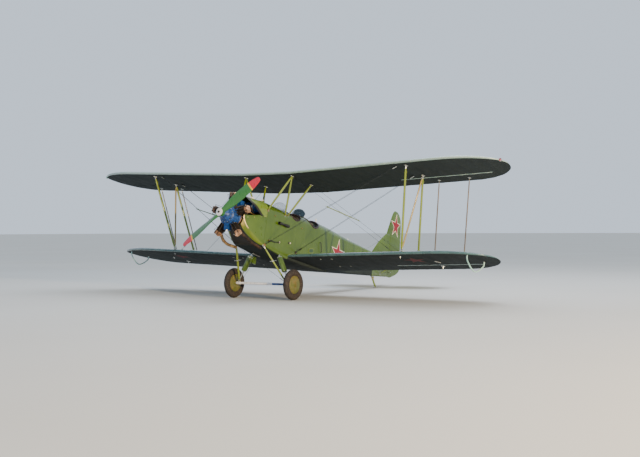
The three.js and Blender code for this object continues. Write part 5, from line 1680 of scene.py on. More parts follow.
def make_gear():
    """Streamlined front legs, and rear legs with a flat fairing round the shock cords."""
    front = Skin()
    low = down_line(GEAR_FRONT_FOOT, GEAR_FRONT_TOP, 0.036)
    add_strut(front, GEAR_FRONT_TOP, low, 0.015, 0.027)
    add_base_eye_plate(front, GEAR_FRONT_TOP)
    add_clamp(front, GEAR_FRONT_TOP, low, 0.4, 0.015, 0.027)
    lever = GEAR_FRONT_TOP.lerp(low, 0.4)
    front.rod(lever + Vector((0.0, -0.10, -0.03)), lever + Vector((0.004, 0.13, 0.035)),
              0.009, 0.006, 12, 1)
    both_sides("front_leg_{}", front, ("enamelled_tube_olive", "bright_aluminium"),
               slot="green_strut", replaces=("gear_front_strut_{}",))

    rear = Skin()
    axis = GEAR_REAR_FOOT - GEAR_REAR_TOP
    thick, deep = 0.046, 0.082

    def along_leg(distance):
        return down_line(GEAR_REAR_TOP, GEAR_REAR_FOOT, distance)

    marks = ((0.035, 0.55), (0.042, 0.9), (0.055, 1.0), (0.24, 1.0), (0.418, 1.0), (0.428, 0.92),
             (0.43, 0.6))
    rear.loft([strut_ring(along_leg(d), axis, thick * s, deep * s, 36) for d, s in marks], 0)
    top_ring = strut_ring(Vector(), axis, thick, deep, 36)
    for side in (1, -1):
        for k in (5, 8, 11, 14):
            offset = top_ring[side * k % 36]
            rear.rod(along_leg(0.07) + offset, along_leg(0.405) + offset, 0.0045, sides=8)
    end = axis.length - 0.037
    rear.rod(along_leg(0.42), along_leg(end), 0.0155, sides=20, finish=1)
    for d, radius, half in ((0.445, 0.024, 0.012), (0.5, 0.019, 0.01), (end - 0.03, 0.021, 0.018)):
        rear.rod(along_leg(d - half), along_leg(d + half), radius, sides=20, finish=1)
    rear.rod(GEAR_REAR_TOP, along_leg(0.045), 0.018, sides=16, finish=1)
    rear.loft([strut_ring(along_leg(d), axis, thick + 0.002, deep + 0.002, 36)
               for d in (0.058, 0.072)], 1)
    both_sides("rear_leg_{}", rear, ("enamelled_sheet_olive", "bright_aluminium"),
               slot="green_metal", replaces=("gear_rear_leg_{}",))


def add_base_eye_plate(skin, point):
    """A plate on the lower longeron that carries a leg."""
    skin.block((-0.012, -0.05, -0.012), (0.006, 0.05, 0.05), 1, Matrix.Translation(point))
    for aft in (-0.034, 0.034):
        skin.bolt(point + Vector((0.006, aft, 0.03)), OUTWARD, 0.007, 1)


def wheel_place(side):
    """Turns a profile's height to run outward along the axle."""
    return (Matrix.Translation((side * HALF_TRACK, AXLE.y, AXLE.z))
            @ Matrix.Rotation(side * math.pi / 2, 4, "Y"))


def tyre_profile():
    """Round tyre section with tread grooves and a bead at the rim."""
    middle = WHEEL_RADIUS - TYRE_DEPTH
    profile = []
    for i in range(73):
        t = math.tau * i / 72
        r, z = middle + TYRE_DEPTH * math.cos(t), TYRE_WIDTH / 2 * math.sin(t)
        if r > middle + TYRE_DEPTH * TREAD_START and int(abs(z) / TREAD_PITCH) % 2:
            r -= TREAD_DEPTH
        if abs(abs(z) - 0.05) < 0.003 and r > middle:
            z *= 1.02
        profile.append((max(r, RIM_RADIUS), z))
    return profile


def make_wheels():
    """Tyres and the dished covers over the wheels, with rims, hubs and valve openings."""
    face = ((0.0235, 0.066), (0.052, 0.066), (0.058, 0.063), (0.0605, 0.057), (0.09, 0.0565),
            (0.14, 0.0545), (0.176, 0.051), (0.186, 0.049), (0.190, 0.0445), (0.198, 0.0435),
            (0.2035, 0.0405), (0.2055, 0.033))
    cover = (*[(r, -z) for r, z in face], *reversed(face), (face[0][0], -face[0][1]))
    for label, side in SIDES:
        place = wheel_place(side)
        tyre = Skin()
        tyre.turned(tyre_profile(), place, 96)
        make_piece("tyre_skin_" + label, tyre, ("tyre_rubber",), body="wheel_" + label, slot="tyre",
                   replaces=("tyre_" + label,), sharp=60)
        disc = Skin()
        disc.turned(cover, place, 72)
        disc.turned(((0.0235, 0.065), (0.046, 0.065), (0.044, 0.070), (0.034, 0.072), (0.0235, 0.072),
                     (0.0235, 0.065)), place, 32)
        disc.bolts(place, 0.05, 0.065, 6, 0.0045, 1)
        for t in turns(16):
            spot = place @ Vector((0.181 * math.cos(t), 0.181 * math.sin(t), 0.049))
            disc.rod(spot, spot + place.to_3x3() @ Vector((0, 0, 0.0035)), 0.004, 0.003, 8, 1)
        valve = place @ Vector((0.165, 0, 0.05))
        disc.rod(valve, valve + place.to_3x3() @ Vector((0, 0, 0.014)), 0.005, 0.004, 8, 1)
        make_piece("wheel_cover_" + label, disc, ("dusty_wheel_enamel", "enamelled_sheet_olive"),
                   body="wheel_" + label, slot="green_metal", replaces=("wheel_disc_" + label,))


SKID_PLACE = 5.11


def make_skid():
    """Sprung ash skid with its steel shoe and the cord wound round its post."""
    into_level = Matrix.Rotation(NOSE_UP, 4, "X")
    foot = into_level @ Vector((0, SKID_PLACE - 0.005, 0.018))
    top = Vector((0, 4.73, station(4.73)[1] - 0.016))
    skin = Skin()
    axis = foot - top
    path = smooth_path((top, top.lerp(foot, 0.35) + Vector((0, -0.012, -0.012)),
                        top.lerp(foot, 0.7) + Vector((0, -0.012, -0.012)), foot), 6)
    outline = [(x * 0.019, y * 0.021) for x, y in rounded_square(5)]
    skin.loft(swept(path, outline), 0)
    shoe = into_level @ Matrix.Translation((0, SKID_PLACE, 0))
    rows = []
    for y, z in ((-0.085, 0.022), (-0.07, 0.006), (-0.05, 0.0), (0.04, 0.0), (0.062, 0.008)):
        rows.append([shoe @ Vector((x, y, z + h)) for x, h in
                     ((-0.035, 0.004), (-0.03, 0.0), (0.03, 0.0), (0.035, 0.004), (0.035, 0.012),
                      (-0.035, 0.012))])
    skin.loft(rows, 1)
    for share in (0.86, 0.94):
        band = top.lerp(foot, share)
        skin.loft([[p + axis.normalized() * d for p in
                    [band + q for q in strut_outline(axis, 0.024, 0.026)]] for d in (-0.012, 0.012)], 1)
    coil = [top.lerp(foot, 0.08 + 0.1 * i / 80) + turn_round(axis, 0.03, i * math.tau / 10)
            for i in range(81)]
    skin.tube(coil, 0.007, 6, 2)
    skin.block((-0.03, -0.06, -0.014), (0.03, 0.06, 0.014), 1, Matrix.Translation(top))
    make_piece("skid", skin, ("enamelled_tube_olive", "bright_aluminium", "cotton_webbing"),
               slot="green_strut", replaces=("tail_skid",))


def rounded_square(steps):
    """A square of half size 1 with rounded corners."""
    points = []
    for corner in range(4):
        middle = math.pi / 4 + corner * math.pi / 2
        cx, cy = math.copysign(0.6, math.cos(middle)), math.copysign(0.6, math.sin(middle))
        for i in range(steps):
            t = middle - math.pi / 4 + math.pi / 2 * i / (steps - 1)
            points.append((cx + 0.4 * math.cos(t), cy + 0.4 * math.sin(t)))
    return points


def strut_outline(axis, half_thick, half_deep):
    """Offsets round a bar whose depth stands across the axis, fore and aft."""
    return strut_ring((0, 0, 0), axis, half_thick, half_deep, 16)


def turn_round(axis, radius, angle):
    """An offset that turns round an axis."""
    right, up = basis(axis)
    return right * radius * math.cos(angle) + up * radius * math.sin(angle)


# Tail surfaces
TAIL_HINGE = 5.42
RUDDER_HINGE = 5.462
TAILPLANE_HEIGHT = 1.995
TAIL_HALF_THICKNESS = 0.026
TAIL_NOSE = 0.02
FIN_FOOT = TAILPLANE_HEIGHT + TAIL_HALF_THICKNESS
FIN_TOP = 2.672
RUDDER_STEP = 2.682
TAIL_HALF_SPAN = 1.78
# Height, leading edge, trailing edge and half thickness
FIN_ROWS = ((2.0213, 4.560, 6.128, 0.027), (2.3, 4.800, 6.098, 0.027), (2.54, 5.060, 6.062, 0.027),
            (2.672, 5.235, 6.044, 0.026), (2.682, 5.250, 6.042, 0.026))
RUDDER_ROWS = ((1.5, 5.150, 5.640, 0.022), (1.56, 5.080, 5.800, 0.024), (1.66, 4.980, 6.010, 0.026),
               (1.795, 4.850, 6.152, 0.027))
BALANCE_ROWS = ((2.682, 5.255, 6.042, 0.026), (2.86, 5.315, 6.028, 0.025), (3.05, 5.385, 6.004, 0.023),
                (3.22, 5.452, 5.950, 0.020), (3.34, 5.512, 5.850, 0.015), (3.4, 5.580, 5.740, 0.008))
TAIL_RIB_PITCH = 0.24


def tail_half(row, y, place):
    """Half thickness of a tail surface, with the fabric hung in a little between its ribs."""
    lead, trail, half = row
    f = min(max((y - lead) / (trail - lead), 0.0), 1.0)
    bag = FABRIC_HOLLOW * halfway(place / TAIL_RIB_PITCH) * ramp(f, 0.08, 0.2) * (1 - ramp(f, 0.85, 1.0))
    return half * (0.95 * section_spread(f) + 0.08 * f) - bag


def row_at(rows, place):
    """A row between two given ones, along a smooth edge."""
    places = [r[0] for r in rows]
    if place <= places[0]:
        return rows[0][1:]
    if place >= places[-1]:
        return rows[-1][1:]
    i = max(k for k, p in enumerate(places) if p <= place)
    i = min(i, len(rows) - 2)
    t = (place - places[i]) / (places[i + 1] - places[i])
    row = []
    for k in (1, 2, 3):
        slopes = []
        for j in (i, i + 1):
            a, b = max(j - 1, 0), min(j + 1, len(rows) - 1)
            slopes.append((rows[b][k] - rows[a][k]) / (rows[b][0] - rows[a][0]))
        gap = places[i + 1] - places[i]
        h = t * t * (3 - 2 * t)
        row.append(rows[i][k] * (1 - h) + rows[i + 1][k] * h
                   + gap * slopes[0] * t * (1 - t) ** 2 - gap * slopes[1] * t * t * (1 - t))
    return row


def fixed_ring(row, rear, place, to_point, steps=9):
    """A section from its front edge to a flat back at the post, or to its rear edge."""
    halves = [(y, tail_half(row, y, place)) for y in from_edge(row[0], rear, steps)]
    ring = [(y, -h) for y, h in reversed(halves)] + [(y, h) for y, h in halves[1:]]
    return [to_point(y, x) for y, x in ring], [(place / TAIL_RIB_PITCH, y) for y, _ in ring]


def moving_ring(row, hinge, place, to_point, trail=None):
    """A section from its round nose on the hinge line to its rear edge."""
    trail = trail or row[1]
    steps = [hinge + (trail - hinge) * i / 8 for i in range(9)]
    halves = [(y, tail_half(row, y, place)) for y in steps]
    nose = halves[0][1]
    ring = [(y, -h) for y, h in reversed(halves)]
    ring += [(hinge - nose * math.sin(math.pi * i / 6), -nose * math.cos(math.pi * i / 6))
             for i in range(1, 6)]
    ring += halves
    return [to_point(y, x) for y, x in ring], [(place / TAIL_RIB_PITCH, y) for y, _ in ring]


def upright_at(z):
    """Turns a section's place and half thickness into a point of a fin at one height."""
    return lambda y, x: Vector((x, y, z))


def level_at(x):
    """Turns a section's place and half thickness into a point of the tailplane at one place."""
    return lambda y, z: Vector((x, y, TAILPLANE_HEIGHT + z))


def loft_of(pairs):
    """A body through rings that carry their own surface coordinates."""
    skin = Skin()
    skin.loft([p[0] for p in pairs], 0, [p[1] for p in pairs])
    return skin


def spaced(low, high, step):
    """Even places from low to high, both ends in."""
    count = max(round((high - low) / step), 1)
    return [low + (high - low) * i / count for i in range(count + 1)]


def make_fin_and_rudder():
    """Fin, and the rudder with its balance horn over the fin."""
    post = RUDDER_HINGE - TAIL_NOSE - RUNNING_GAP
    fin = loft_of([fixed_ring(row_at(FIN_ROWS, z), post, z, upright_at(z))
                   for z in spaced(FIN_FOOT + 0.0005, FIN_TOP, TAIL_RIB_PITCH / 6)])
    for z in (2.12, 2.6):
        fin.block((-0.009, post - 0.03, z - 0.012), (0.009, RUDDER_HINGE - TAIL_NOSE, z + 0.012), 1)
    make_piece("fin_skin", fin, ("doped_linen_olive", "bright_aluminium"),
               slot="green_skin", replaces=("fin",), sharp=50)

    rows = (*RUDDER_ROWS, *FIN_ROWS)
    blade = loft_of([moving_ring(row_at(rows, z), RUDDER_HINGE, z, upright_at(z))
                     for z in spaced(RUDDER_ROWS[0][0], RUDDER_STEP, TAIL_RIB_PITCH / 6)])
    horn = []
    for z in spaced(RUDDER_STEP, BALANCE_ROWS[-1][0], TAIL_RIB_PITCH / 8):
        row = row_at(BALANCE_ROWS, z)
        horn.append(fixed_ring(row, row[1], z, upright_at(z), 12))
    blade = blade.joined(loft_of(horn))
    for z in (1.72, 2.12, 2.6):
        blade.rod((0, RUDDER_HINGE, z - 0.02), (0, RUDDER_HINGE, z + 0.02), TAIL_NOSE + 0.002, sides=20,
                  finish=1)
    blade.block((-0.13, -0.012, -0.004), (0.13, 0.03, 0.004), 1,
                Matrix.Translation((0, RUDDER_HINGE, 1.62)))
    make_piece("rudder_skin", blade, ("doped_linen_olive", "bright_aluminium"), body="rudder",
               slot="green_skin", replaces=("rudder",), sharp=50)


def tail_row(x):
    """Leading and trailing edge and half thickness of the tailplane."""
    out = abs(x)
    inset = TAIL_HALF_SPAN - out
    lead = 4.61 + 0.33 * out / TAIL_HALF_SPAN + 0.26 * tip_share(inset, 0.42)
    trail = 6.03 - 0.06 * out / TAIL_HALF_SPAN - 0.56 * tip_share(inset, 0.52)
    return lead, trail, TAIL_HALF_THICKNESS * (1 - 0.35 * tip_share(inset, 0.52))


def make_tailplane():
    """Tailplane in one piece with flat underside at the fuselage, and both elevator halves."""
    post = TAIL_HINGE - TAIL_NOSE - RUNNING_GAP
    places = spaced(0, 1.56, TAIL_RIB_PITCH / 6) + [1.6, 1.64, 1.68, 1.71, 1.735, 1.755, 1.768, 1.774]
    mirror = [-x for x in reversed(places[1:])] + places
    plane = loft_of([fixed_ring(tail_row(x), post, abs(x), level_at(x)) for x in mirror])
    for x in (-1.3, -0.5, 0.5, 1.3):
        plane.block((x - 0.012, post - 0.03, TAILPLANE_HEIGHT - 0.008),
                    (x + 0.012, TAIL_HINGE - TAIL_NOSE, TAILPLANE_HEIGHT + 0.008), 1)
    make_piece("tailplane_skin", plane, ("doped_linen_olive", "bright_aluminium"),
               slot="green_skin", replaces=("tailplane",), sharp=50)

    tip = 1.75
    rings = []
    for x in [0.0755, *spaced(0.1, 1.6, TAIL_RIB_PITCH / 6), 1.64, 1.68, 1.71, 1.735, tip]:
        row = tail_row(x)
        sweep = TAIL_HINGE + TAIL_NOSE + (x - 0.075) * (6.1 - TAIL_HINGE - TAIL_NOSE) / 0.355
        trail = min(row[1], max(sweep, TAIL_HINGE + TAIL_NOSE + 0.002))
        rings.append(moving_ring(row, TAIL_HINGE, x, level_at(x), trail))
    half = loft_of(rings)
    for x in (0.5, 1.3):
        half.rod((x - 0.02, TAIL_HINGE, TAILPLANE_HEIGHT), (x + 0.02, TAIL_HINGE, TAILPLANE_HEIGHT),
                 TAIL_NOSE + 0.002, sides=20, finish=1)
    for way in (-1, 1):
        half.rod((0.3, TAIL_HINGE, TAILPLANE_HEIGHT),
                 (0.3, TAIL_HINGE + 0.01, TAILPLANE_HEIGHT + way * 0.13), 0.007, 0.005, 10, 1)
    both_sides("elevator_skin_{}", half, ("doped_linen_olive", "bright_aluminium"),
               body="elevator", slot="green_skin", replaces=("elevator_{}",), sharp=50)


def make_tail_struts():
    """Struts from the stern to the tailplane, and the wires from the fin."""
    skin = Skin()
    add_strut(skin, TAIL_STRUT_FOOT, TAIL_STRUT_TOP, 0.01, 0.018)
    for point in (TAIL_STRUT_FOOT, TAIL_STRUT_TOP):
        skin.bolt(point, OUTWARD, 0.007, 1)
    add_wire(skin, (0.02, 5.12, 2.5), (0.86, 5.12, TAILPLANE_HEIGHT + 0.024), sizes().cable / 2,
             stand=0.004, finish=2)
    both_sides("tail_strut_{}", skin,
               ("enamelled_tube_olive", "bright_aluminium", "drawn_steel_wire"),
               slot="green_strut", replaces=("tailplane_strut_{}",))


# Nose: place, half width, top edge, then the bevel's outer height, inner half width and inner height
COWL_STATIONS = (
    (-0.7803, 0.400, 1.800, 1.128, 0.372, 1.100), (-0.870, 0.387, 1.776, 1.160, 0.350, 1.106),
    (-1.030, 0.358, 1.732, 1.245, 0.300, 1.165), (-1.190, 0.325, 1.692, 1.335, 0.240, 1.255),
    (-1.330, 0.285, 1.665, 1.450, 0.200, 1.362), (-1.419, 0.258, 1.652, 1.606, 0.194, 1.446),
)
HOOD_STATIONS = ((-0.7803, 0.400, 1.925, 2.150), (-1.345, 0.330, 1.850, 2.122))
HOOD_FOOT = 1.745
HOOD_EDGE = {"y": -1.165, "z": 1.883, "lean": 0.361 / 0.253}
# The band is wide enough to take in the shade under the hood's front edge: painted shade
HOOD_BAND = 0.085
SHEET_WALL = 0.003
COWL_FRONT = -1.42
BELLY_STEPS, BEVEL_STEPS, SIDE_STEPS = 3, 3, 6


def cowl_half(values):
    """Port half of the open-topped cowl at one station, from the keel up to its turned-in edge."""
    y, half, top, outer, inner, low = values
    line = [(inner * i / BELLY_STEPS, low) for i in range(BELLY_STEPS)]
    for i in range(BEVEL_STEPS + 1):
        share = i / BEVEL_STEPS
        swell = 0.006 * math.sin(math.pi * share)
        line.append((inner + (half - inner) * share + swell, low + (outer - low) * share - swell))
    line += [(half, outer + (top - outer) * i / SIDE_STEPS) for i in range(1, SIDE_STEPS + 1)]
    line += [(half - 0.012, top + 0.006), (half - 0.028, top + 0.004)]
    return [Vector((x, y, z)) for x, z in line]


def hood_half_ring(y, grow=0.0):
    """The port half of the hood's arch at one place, from its foot to the ridge."""
    a, b = HOOD_STATIONS
    share = (y - a[0]) / (b[0] - a[0])
    half, shoulder, ridge = (p + (q - p) * share for p, q in zip(a[1:], b[1:]))
    half += grow
    ring = [(half, HOOD_FOOT + (shoulder - HOOD_FOOT) * i / 8) for i in range(8)]
    return ring + arch(half, shoulder, ridge + grow, 14)


def front_of_hood(k):
    """Where one line of the hood meets the slanted cut at its front."""
    y = HOOD_EDGE["y"]
    for _ in range(30):
        z = hood_half_ring(y)[k][1]
        y = max(HOOD_EDGE["y"] + (HOOD_EDGE["z"] - z) * HOOD_EDGE["lean"], HOOD_STATIONS[1][0])
    return min(y, FIREWALL - HOOD_BAND - 0.01)


def hood_rows(start, shares, grow=0.0):
    """Points of the port half of the hood between its slanted front and a place aft of it."""
    rows = []
    for share in shares:
        row = []
        for k in range(len(hood_half_ring(FIREWALL))):
            ahead = front_of_hood(k)
            y = ahead + (start(ahead) - ahead) * share
            x, z = hood_half_ring(y, grow)[k]
            row.append(Vector((x, y, z)))
        rows.append(row)
    return rows


def make_cowl():
    """Side panels with their bevel in painted sunlight, black belly with painted shade, bright lip with a painted
    highlight, and the hood, painted lighter, with its dark band of painted shade.
    """
    stations = smooth_rows(COWL_STATIONS, 4)
    rows = [cowl_half(row) for row in stations]
    reach = COWL_STATIONS[0][0] - COWL_FRONT

    # Belly black with painted shade, bevel with painted light, olive sides
    def cowl_finish(_, c):
        return 1 if c < BELLY_STEPS else 2 if c < BELLY_STEPS + BEVEL_STEPS else 0

    half = Skin()
    half.sheet(rows, cowl_finish, bays=[[(0.5, (p.y - COWL_FRONT) / reach) for p in row]
                                        for row in rows])
    # Hood in the lighter olive: painted light
    half.sheet(hood_rows(lambda ahead: FIREWALL, [i / 12 for i in range(13)]), 3)
    whole = half.joined(half.mirrored())
    piece = make_piece("cowl_skin", whole, ("enamelled_sheet_olive", "oily_black_sheet_painted_shade", "bevel_wear_and_painted_light",
                                            "sheet_olive_painted_light"),
                       slot="green_metal", replaces=("cowl",), sharp=35, merge=True)
    thicken(piece, "Sheet thickness", SHEET_WALL)

    # Dark band at the hood's front edge: oily black, and painted shade of the gap behind it
    band = Skin()
    shares = [0.0, 0.02, 0.5, 0.98, 1.0]
    grown = [hood_rows(lambda ahead: ahead + HOOD_BAND, [s], g)[0]
             for s, g in zip(shares, (0.001, 0.006, 0.008, 0.006, 0.001))]
    band.sheet(grown)
    piece = make_piece("hood_edge", band.joined(band.mirrored()), ("oily_black_sheet_painted_shade",),
                       slot="black_iron", merge=True)
    thicken(piece, "Band thickness", SHEET_WALL, 1)

    lip = Skin()
    seam = [Vector((x + 0.002, FIREWALL - 0.004, z)) for x, z in hood_half_ring(FIREWALL)]
    lip.tube(seam, 0.004, 8, 2)
    outer = [r[BELLY_STEPS + BEVEL_STEPS] for r in rows]
    edge = [Vector((p.x - 0.004, p.y, p.z)) for p in reversed(outer[-7:])]
    top = rows[-1][BELLY_STEPS + BEVEL_STEPS + SIDE_STEPS]
    lip.tube(smooth_path([top, *edge], 3), 0.015, 12)
    inner = [r[BELLY_STEPS] for r in rows[4:]]
    lip.tube(smooth_path(inner, 2), 0.006, 8, 1)
    lip.tube([r[-2] + UP * 0.001 for r in rows], 0.005, 8, 1)
    across = rows[-1][:BELLY_STEPS + 1]
    lip.tube([*across[1:], across[-1] + Vector((0.002, 0.0, 0.012))], 0.006, 8, 1)
    for y in (-1.32, -1.14, -0.96, -0.84):
        wide, height = row_between(COWL_STATIONS, y)[:2]
        lip.bolt((wide + 0.001, y, height - 0.035), OUTWARD, 0.006)
    both_sides("cowl_lip_{}", lip,
               ("worn_lip_painted_highlight", "enamelled_sheet_olive", "enamelled_tube_olive"),
               slot="bare_metal")


# Pipes behind the cylinders: radius, sides, finish and the points that they pass
BAY_PIPES = (
    (0.022, 14, 1, ((0.10, -1.665, 1.735), (0.19, -1.60, 1.785), (0.215, -1.50, 1.828),
                    (0.22, -1.36, 1.856), (0.215, -1.22, 1.868), (0.17, -1.06, 1.85))),
    (0.02, 10, 1, ((-0.12, -1.62, 1.78), (-0.19, -1.5, 1.83), (-0.2, -1.34, 1.86),
                   (-0.15, -1.1, 1.84))),
    (0.013, 10, 5, ((0.16, -1.40, 1.69), (0.25, -1.30, 1.755), (0.27, -1.12, 1.74),
                    (0.25, -0.9, 1.70))),
    (0.010, 10, 4, ((0.12, -1.28, 1.55), (0.235, -1.2, 1.60), (0.25, -1.0, 1.66),
                    (0.22, -0.8, 1.66))),
    (0.012, 10, 5, ((0.0, -1.24, 1.78), (0.06, -1.12, 1.83), (0.05, -1.0, 1.82))),
    (0.012, 10, 5, ((-0.16, -1.40, 1.66), (-0.26, -1.24, 1.70), (-0.25, -0.9, 1.68))),
)


def make_engine_bay():
    """All that shows behind the cylinders: rear case, magnetos, carburettor, tank, tubes and pipes."""
    skin = Skin()
    rear_case = ((0.0, 1.4203), (0.166, 1.4203), (0.17, 1.40), (0.17, 1.372), (0.144, 1.352),
                 (0.138, 1.30), (0.12, 1.262), (0.118, 1.21), (0.08, 1.19), (0.0, 1.185))
    skin.turned(rear_case, nose_turned(), 40, 0)
    skin.bolts(nose_turned(), 0.156, 1.371, 12, 0.006, 2, -1)
    for side in (-1, 1):
        body = Matrix.Translation((side * 0.128, -1.275, 1.705)) @ LYING_AHEAD
        skin.turned(((0.0, -0.075), (0.03, -0.075), (0.048, -0.06), (0.05, 0.02), (0.044, 0.05),
                     (0.03, 0.075), (0.0, 0.078)), body, 24, 4)
        skin.turned(((0.0, -0.084), (0.042, -0.084), (0.046, -0.074), (0.046, -0.05), (0.0, -0.05)),
                    body, 24, 1)
        skin.block((side * 0.128 - 0.03, -1.32, 1.63), (side * 0.128 + 0.03, -1.24, 1.665), 0)
        skin.rod((side * 0.19, -1.35, 1.50), (side * 0.19, -1.22, 1.50), 0.03, 0.026, 20, 4)
    skin.block((-0.07, -1.30, 1.32), (0.07, -1.16, 1.45), 0)
    skin.rod((0, -1.23, 1.30), (0, -1.23, 1.47), 0.05, sides=24, finish=4)
    skin.turned(((0.0, -0.27), (0.09, -0.262), (0.122, -0.245), (0.128, -0.23), (0.128, 0.23),
                 (0.122, 0.245), (0.09, 0.262), (0.0, 0.27)),
                Matrix.Translation((0, -0.94, 1.93)) @ LYING_OUT, 36, 3)
    for x in (-0.16, 0.16):
        skin.turned(((0.129, x - 0.016), (0.132, x - 0.014), (0.132, x + 0.014), (0.129, x + 0.016),
                     (0.129, x - 0.016)),
                    Matrix.Translation((0, -0.94, 1.93)) @ LYING_OUT, 36, 2)
    ring = [Vector((0.205 * math.cos(t), -1.335, THRUST_HEIGHT + 0.205 * math.sin(t)))
            for t in turns(48)]
    skin.tube(ring, 0.013, 10, 1, closed=True)
    for side in (-1, 1):
        for t, z in ((0.2, 1.74), (0.85, 1.74), (-0.35, 1.2), (-1.0, 1.2)):
            head = Vector((side * 0.205 * math.cos(t), -1.33, THRUST_HEIGHT + 0.205 * math.sin(t)))
            skin.rod(head, (side * 0.345, FIREWALL - 0.012, z), 0.011, sides=12, finish=1)
    for radius, sides, finish, path in BAY_PIPES:
        skin.tube(smooth_path(path, 8), radius, sides, finish)
    skin.block((-0.13, -1.425, 1.84), (0.13, -1.30, 1.985), 3)
    skin.turned(((0.0, 0.0), (0.05, 0.0), (0.05, 0.09), (0.044, 0.10), (0.0, 0.10)),
                Matrix.Translation((0.0, -1.36, 1.75)), 24, 3)
    plate = end_plate(FIREWALL, inset=0.01, ahead=-0.014)
    plate.finishes = [1] * len(plate.finishes)
    skin = skin.joined(plate)
    make_piece("engine_bay", skin,
               ("cast_aluminium_tinted", "sooted_steel", "bright_aluminium", "blue_enamel_and_painted_shadow",
                "black_rubber", "bare_brass"), slot="black_iron", sharp=40)


# Windshields
PANE = {"radius": 0.33, "thick": 0.004, "sweep": 40, "lean": 32, "above": 0.235, "ahead": 0.045,
        "round": 0.1}


def make_windshields():
    """Bent panes that lean aft, in metal frames screwed to the deck."""
    for cockpit in COCKPITS:
        foot = cockpit["middle"] - cockpit["half"] - PANE["ahead"]
        place = (Matrix.Translation((0, foot, station(foot)[3]))
                 @ Matrix.Rotation(-math.radians(PANE["lean"]), 4, "X"))
        columns = []
        for i in range(25):
            a = math.radians(PANE["sweep"] * (2 * i / 24 - 1))
            x, y = PANE["radius"] * math.sin(a), PANE["radius"] * (1 - math.cos(a))
            low, high = -0.2, 0.2
            for _ in range(30):
                middle = (low + high) / 2
                p = place @ Vector((x, y, middle))
                low, high = (low, middle) if p.z > deck_height(p.x, p.y) + 0.002 else (middle, high)
            edge = PANE["above"] - PANE["round"] * abs(i / 12 - 1) ** 3
            columns.append([place @ Vector((x, y, low + (edge - low) * j / 10)) for j in range(11)])
        pane = Skin()
        pane.sheet(columns)
        name = cockpit["name"]
        # The rear pane's dark tint is painted shade of the cockpit behind it
        sheet = "shade_tinted_acrylic" if name == "rear" else "bent_acrylic"
        piece = make_piece("pane_" + name, pane, (sheet,), slot="pane",
                           replaces=("windshield_" + name,))
        thicken(piece, "Sheet thickness", PANE["thick"])
        border = Skin()
        sill = [c[0] for c in columns]
        border.tube(sill, 0.0105, 8)
        border.tube([*columns[0], *[c[-1] for c in columns[1:-1]], *reversed(columns[-1])], 0.0045, 8)
        for i in range(1, 24, 3):
            border.bolt(sill[i] + Vector((0, -0.006, 0.004)), Vector((0, -0.6, 0.8)), 0.0035)
        make_piece("pane_frame_" + name, border, ("bright_aluminium",), slot="bare_metal")


# Cockpits
SEAT_PAN = 1.43
SEAT_BACK = 1.85
SEAT_HALF = 0.23
# Straps: half sizes of the webbing, then its path by distance out, ahead of the back and over the pan
STRAPS = (((0.002, 0.022), ((0.2, 0.06, 0.08), (0.15, 0.13, 0.1), (0.07, 0.22, 0.088),
                            (0.01, 0.27, 0.088))),
          ((0.022, 0.002), ((0.09, 0.035, 0.4), (0.09, 0.09, 0.32), (0.08, 0.1, 0.2),
                            (0.05, 0.17, 0.1))))


def make_rims():
    """Padded leather round each cockpit opening."""
    for cockpit in COCKPITS:
        reach = mouth_reach(cockpit)
        path = []
        for t in range(0, 360, 5):
            y = cockpit["middle"] - reach * math.cos(math.radians(t))
            half, _, shoulder, ridge = station(y)
            edge = min(mouth_height(y), ridge)
            turn = math.asin(min(max(edge - shoulder, 0.0) / (ridge - shoulder), 1.0))
            side = 1 if 0 < t < 180 else -1
            path.append(Vector((side * half * math.cos(turn) * (abs(math.sin(math.radians(t))) > 1e-6),
                                y, shoulder + (ridge - shoulder) * math.sin(turn))))
        pad = Skin()
        pad.tube(path, sizes().rim_pad / 2, 12, closed=True)
        piece = make_piece("rim_" + cockpit["name"], pad, ("plum_leather",), slot="seat", sharp=180)


def make_cockpits():
    """Floor, bulkheads, tube frames, boards of dials, sticks and pedals."""
    tub = Skin()
    tub.block((-0.36, -0.33, FLOOR_HEIGHT - 0.02), (0.36, 1.45, FLOOR_HEIGHT), 0)
    for y, finish in ((-0.33, 0), (0.715, 2), (1.45, 0)):
        bulkhead = end_plate(y, inset=0.012, ahead=-0.004)
        bulkhead.finishes = [finish] * len(bulkhead.finishes)
        tub = tub.joined(bulkhead)
    for y in (-0.05, 0.32, 0.69, 0.76, 1.1, 1.42):
        half = station(y)[0] - 0.022
        for side in (-1, 1):
            tub.rod((side * half, y, FLOOR_HEIGHT), (side * half, y, 1.9), 0.012, sides=10, finish=1)
    for side in (-1, 1):
        for z in (1.5, 1.9):
            path = [(side * (station(y)[0] - 0.024), y, z) for y in spaced(-0.33, 1.45, 0.1)]
            tub.tube(path, 0.011, 10, 1)
    for side in (-1, 1):
        rows = [[(side * (station(y)[0] - x), y, z) for x, z in
                 ((0.012, 1.56), (0.012, 1.905), (0.016, 1.905), (0.016, 1.56))]
                for y in spaced(0.08, 0.66, 0.2)]
        tub.loft(rows, 2)
    make_piece("cockpit_tub", tub, ("grey_primer", "enamelled_tube_olive", "varnished_plywood"),
               slot="green_metal")
    for cockpit in COCKPITS:
        make_controls(cockpit)


